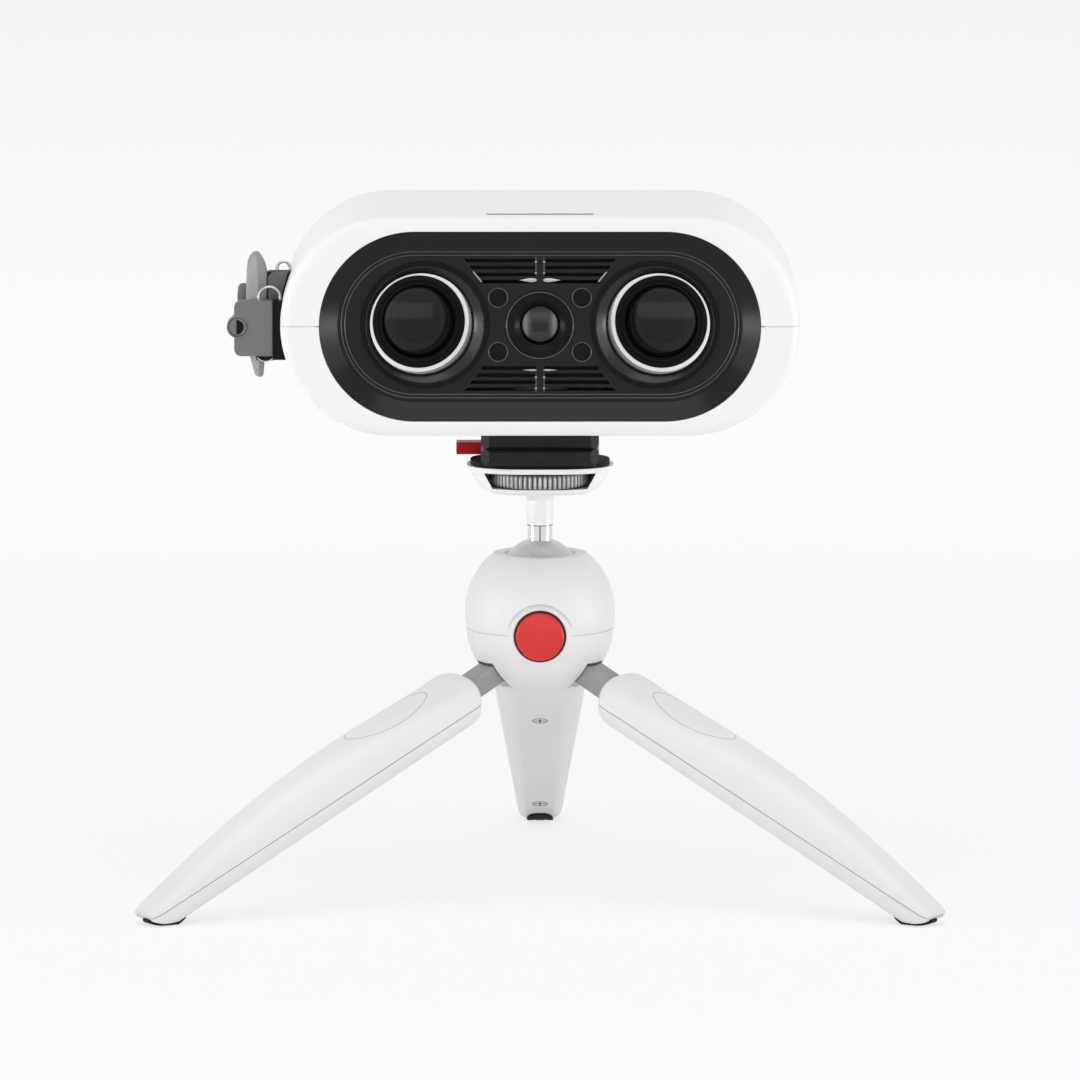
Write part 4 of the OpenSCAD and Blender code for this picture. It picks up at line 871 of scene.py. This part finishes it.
def blade(sign):
    """A bar of painted shade beside the wheel: its outer side follows the sloping end of the window, and
    behind the wheel's middle its inner side follows the wheel's round pocket, so that nothing shines through
    the slot."""
    y = np.array([-10.3, -10.2, 0.0, 2.0, 4.0, 6.0, 8.0, 9.0])
    inner = np.where(y > 0, np.sqrt(POCKET_R**2 - y**2), POCKET_R) + 0.04
    low = np.maximum(WINDOW_LOW + 0.08, WINDOW_LOW + (inner - WINDOW_HALF) / WINDOW_SLOPE + 0.05)
    high = np.full(8, 132.05)
    low_end, high_end = (WINDOW_HALF + WINDOW_SLOPE * (z - WINDOW_LOW) for z in (low, high))
    x = np.stack([inner, np.maximum(low_end, inner + 0.02), high_end, inner], -1)
    z = np.stack([low, low, high, high], -1)
    return closed_skin(np.stack([sign * x, AXIS_Y + y[:, None] + 0 * x, z], -1))

new_piece("window_shade_blades", [blade(-1), blade(1)], "head", "pad_rubber")

# %% [markdown]
# ## Stud and button
# A thin dark streak down the front of the chrome stud between ball and neck is a painted reflection, and a
# thin dark ring goes round it. The red button is slightly crowned, and its rounded edge catches the light
# from both sides.

# %% Painted streak, dark ring and crown
STUD_R, BUTTON_R, BUTTON_EDGE = 3.86, 7.6, 1.3
streak_path = np.stack([np.zeros(12), np.full(12, AXIS_Y - STUD_R), np.linspace(108.4, 114.4, 12)], -1)
groove = [(STUD_R, -0.12), (STUD_R + 0.16, -0.05), (STUD_R + 0.16, 0.1), (STUD_R, 0.14)]
groove_line = turned(groove, (0, AXIS_Y, 114.6), (0, 0, 1), True)
new_piece("stud_dark_lines", [wire(streak_path, 0.2, (0, 1, 0)), groove_line], "ball", "seat_dark")
button_box = np.array([list(c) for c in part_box("lock_button")]) * 1000
BUTTON_Z = button_box[:, 2].mean()
button_face = (0, button_box[0][1], BUTTON_Z)
dome = [(6.2 * c, 0.35 - 0.3 * c**2) for c in np.linspace(0, 1, 10)]
dome += [(BUTTON_R - BUTTON_EDGE * (1 - math.sin(a)), 0.05 - BUTTON_EDGE * (1 - math.cos(a)))
         for a in np.linspace(0, np.pi / 2, 10)]
dome += [(BUTTON_R, -5.9), (0, -5.9)]
new_piece("button_crown", [turned(dome, button_face, FRONT)], "lock_button", "button_red",
          stands_for="lock_button")
print("button at height", round(BUTTON_Z, 2), "front at", round(button_box[0][1] - AXIS_Y, 2))

# %% [markdown]
# The button sits in the round of the body. The solid has a flat land there, and a collar brings the body's
# round shape up to the button: its surface is that of the two spheres that the body is turned from. A dark
# ring on that surface is painted shade in the gap, the seam of the body is a shallow grey line that stops at
# the collar, and a faint grey line above the button is the painted shadow of a slight ledge.

# %% Collar and gap
SEAM_Z, SEAM_R = 82.4734, 22.74
UPPER_R, UPPER_Z = 23.35, SEAM_Z + 5
LOWER_R, LOWER_Z = 23.0, SEAM_Z + 1

def body_front(x, z):
    """How far the body's skin lies in front of the tripod's axis: on one sphere above the seam and on another
    below it."""
    upper = np.sqrt(UPPER_R**2 - (z - UPPER_Z) ** 2 - x**2)
    lower = np.sqrt(LOWER_R**2 - (z - LOWER_Z) ** 2 - x**2)
    return np.where(z > SEAM_Z, np.minimum(upper, lower + 0.1), lower)

def round_button(across, sink):
    """A ring round the button's middle: at distances across from it, and so far below the body's skin."""
    angle = all_round(128)
    x, z = across * np.cos(angle), BUTTON_Z + across * np.sin(angle)
    return [closed_skin(np.stack([x, AXIS_Y - body_front(x, z) + sink, z], -1), ring=True)]

across = np.array([8.1, 8.1, 8.3, 8.8, 9.4, 10.0, 10.4, 10.4, 8.1])[:, None]
sink = np.array([1.0, 0.25, 0.02, -0.03, -0.04, -0.04, -0.02, 1.0, 1.6])[:, None]
new_piece("button_collar", round_button(across, sink), "tripod_body", "leg_white")
# A dark ring in the gap round the button: painted shade.
finish("gap_dark", (0.02, 0.004, 0.004), 0.1, 3, 0.6, 0.05)
a = all_round(10)[:, None]
gap = round_button(7.91 + 0.22 * np.cos(a), 0.08 + 0.22 * np.sin(a))
new_piece("button_gap_shade", gap, "tripod_body", "seat_dark", look="gap_dark")

# %% Seam and painted brow shadow
finish("line_grey", (0.6, 0.6, 0.6), 0.04, 6, 0.5, 0.05)
angle = np.linspace(-np.pi / 2 + 0.45, 1.5 * np.pi - 0.45, 160)
seam = np.stack([SEAM_R * np.cos(angle), AXIS_Y + SEAM_R * np.sin(angle), np.full(160, SEAM_Z)], -1)
new_piece("body_seam", [wire(seam, 0.2, (0, 0, 1), count=8)], "tripod_body", "leg_white", look="line_grey")
# A grey line above the button: painted shadow under a slight ledge.
x = np.linspace(-9.0, 9.0, 60)
z = BUTTON_Z + 9.6 - x**2 / 52
brow = np.stack([x, AXIS_Y - body_front(x, z) + 0.06, z], -1)
taper = 0.14 * (1 - (x / 9.05) ** 4)
new_piece("brow_shadow_line", [wire(brow, taper, (0, 0, 1), count=8)], "tripod_body", "leg_white", look="line_grey")

# %% [markdown]
# Each hinge arm comes out of a slot in the body. The slot is 0.3 mm wider than the arm on each side, and the
# shade in that gap is painted: a thin dark wire goes up one side of the arm, over its top and down the other.

# %% Painted shade in the gaps round the hinge arms
SLOT_HALF, SLOT_LOW, SLOT_TOP = 4.74, -3.2, 3.5

def slot_edge(turn):
    """Where lines along the leg come out of the body's lower sphere. Each line lies beside the leg's plane by
    across and over its pivot by rise; the way along it to the sphere is the positive root of a quadratic."""
    up, over = np.linspace(SLOT_LOW, SLOT_TOP, 24), np.linspace(-SLOT_HALF, SLOT_HALF, 24)[1:-1]
    rise = np.concatenate([up, np.full(22, SLOT_TOP), up[::-1]])
    across = np.concatenate([np.full(24, -SLOT_HALF), over, np.full(24, SLOT_HALF)])
    out, high = HINGE_OUT + rise * math.sin(FALL), HINGE_Z - LOWER_Z + rise * math.cos(FALL)
    half = out * math.cos(FALL) - high * math.sin(FALL)
    way = -half + np.sqrt(half**2 - out**2 - high**2 - across**2 + (LOWER_R - 0.02) ** 2)
    out, high = out + way * math.cos(FALL), high - way * math.sin(FALL)
    outward = about_axis(0.79, 0.0, -0.61, turn) - [0, AXIS_Y, 0]
    return wire(about_axis(out, across, LOWER_Z + high, turn), 0.14, outward, count=8)

new_piece("arm_gap_shade", [slot_edge(turn) for turn in LEG_TURNS.values()], "tripod_body", "seat_dark")

# %% [markdown]
# The casing's halves meet along another such line. Its filler follows the casing's edge profile at mid
# height: round the front edge with 3.5 mm, straight along the side, and round the rear edge with 10 mm.

# %% Seam of the casing
CASING_HALF, CASING_FRONT, FRONT_EDGE, REAR_EDGE, SEAM_SINK = 80.0, 41.0, 3.5, 10.0, 0.22
turn = np.linspace(0, np.pi / 2, 16)
depth_y = np.concatenate([[-CASING_FRONT] * 2, FRONT_EDGE * (1 - np.cos(turn)) - CASING_FRONT,
                          CASING_FRONT - REAR_EDGE * (1 - np.sin(turn)), [CASING_FRONT] * 2])
inset = np.concatenate([[10.5, 4.0], FRONT_EDGE * (1 - np.sin(turn)), REAR_EDGE * (1 - np.cos(turn)),
                        [20, 79.9]])
y = AXIS_Y + np.clip(depth_y, SEAM_SINK - CASING_FRONT, CASING_FRONT - SEAM_SINK)
paths = [np.stack([sign * (CASING_HALF - SEAM_SINK - inset), y, np.full(len(y), CAM_Z)], -1)
         for sign in SIDES.values()]
seams = [wire(path, 0.19, (0, 0, 1), count=8) for path in paths]
new_piece("casing_seam", seams, "head", "casing_white", look="line_grey")

# %% [markdown]
# ## Floor and light
# The photograph has a white sweep and very soft light. Here a big light hangs above, a low wide box stands in
# front, a soft box at each side, and close to each end of the camera a small box with a grid lights the
# funnel from the side. The floor glows a little for the camera, so that it reads as white, and is plain
# white paint for everything else, so it still carries the shadows of the feet. Further out the glow dims a
# little: painted shade that darkens the floor towards the distance.

# %% White floor
floor_mesh = bpy.data.meshes.new("floor")
across = np.linspace(-9, 9, 13)
grid = np.stack([*np.meshgrid(across, across, indexing="ij"), np.full((13, 13), -0.0001)], -1)
floor_mesh.from_pydata(grid.reshape(-1, 3).tolist(), [], cells(np.arange(169).reshape(13, 13)).tolist())
floor = put("floor", floor_mesh)
print("floor", np.ptp(across), "m wide")

# %% Paint of the floor

def combined(tree, operation, first, second):
    """One number from two, worked out by a math node."""
    node = add_node(tree, "Math")
    node.operation = operation
    tree.links.new(first, node.inputs[0])
    tree.links.new(second, node.inputs[1])
    return node.outputs[0]

def seen_directly(tree):
    """1 for rays from the camera, or from a mirror or through glass; 0 for the rays that only carry light."""
    rays = add_node(tree, "LightPath").outputs
    seen = combined(tree, "MAXIMUM", rays["Is Camera Ray"], rays["Is Glossy Ray"])
    return combined(tree, "MAXIMUM", seen, rays["Is Transmission Ray"])

paint = bpy.data.materials.new("white_sweep")
paint.use_nodes = True
tree = paint.node_tree
tree.nodes.clear()
link = tree.links.new
reach = add_node(tree, "VectorMath")
reach.operation = "LENGTH"
link(add_node(tree, "TexCoord").outputs["Object"], reach.inputs[0])
far = add_node(tree, "MapRange", From_Min=0.2, From_Max=1.2, To_Min=0.68, To_Max=0.95)
far.interpolation_type = "SMOOTHSTEP"
# Painted shade: the glow dims from 1.0 to 0.93 between 0.8 and 2.8 m out.
painted_falloff = add_node(tree, "MapRange", From_Min=0.8, From_Max=2.8, To_Min=1.0, To_Max=0.93)
for change in (far, painted_falloff):
    link(reach.outputs["Value"], change.inputs["Value"])
matt = add_node(tree, "BsdfDiffuse", Color=(0.97, 0.97, 0.97, 1))
glow = add_node(tree, "Emission", Color=(1.0, 1.0, 1.0, 1))
link(painted_falloff.outputs["Result"], glow.inputs["Strength"])
mixed = add_node(tree, "MixShader")
link(combined(tree, "MULTIPLY", seen_directly(tree), far.outputs["Result"]), mixed.inputs["Fac"])
link(matt.outputs[0], mixed.inputs[1])
link(glow.outputs[0], mixed.inputs[2])
link(mixed.outputs[0], add_node(tree, "OutputMaterial").inputs["Surface"])
floor_mesh.materials.append(paint)
print("floor painted")

# %% Lamps and sky
AIM = (0, 0, 0.12)

def lamp(name, place, aim, wide, tall, watts, spread=180):
    """A soft box: a rectangular light at a place in metres, turned to face the aim. A spread of few degrees
    is that of a box with a grid in front, which lights only what it points at."""
    light = bpy.data.lights.new(name, "AREA")
    light.shape = "RECTANGLE"
    light.size, light.size_y, light.energy = wide, tall, watts
    light.spread = math.radians(spread)
    box = put(name, light)
    box.location = place
    toward = np.array(aim) - np.array(place)
    flat = math.hypot(toward[0], toward[1])
    box.rotation_euler = (math.atan2(flat, -toward[2]), 0.0, math.atan2(-toward[0], toward[1]))
    print(name, watts, "W")

lamp("top_box", (0.0, -0.5, 1.9), AIM, 1.8, 1.3, 10.0)
lamp("front_box", (-0.2, -2.3, 0.38), AIM, 3.2, 0.7, 6.3)
for side, sign in SIDES.items():
    lamp(side + "_box", (sign * 1.5, -0.7, 0.42), (0, 0, 0.1), 1.0, 0.75, 3.4)
    lamp(side + "_strip", (sign * 0.55, -0.19, 0.105), (-sign * 0.03, -0.07, 0.18), 0.16, 0.19, 0.022, 20)

sky = bpy.data.worlds.new("studio")
bpy.context.scene.world = sky
sky.use_nodes = True
tree = sky.node_tree
tone = add_node(tree, "MapRange", To_Min=0.6, To_Max=0.97)
background = set_inputs(tree.nodes["Background"], {"Color": (1.0, 1.0, 1.0, 1)})
tree.links.new(seen_directly(tree), tone.inputs["Value"])
tree.links.new(tone.outputs["Result"], background.inputs["Strength"])
print("sky ready")
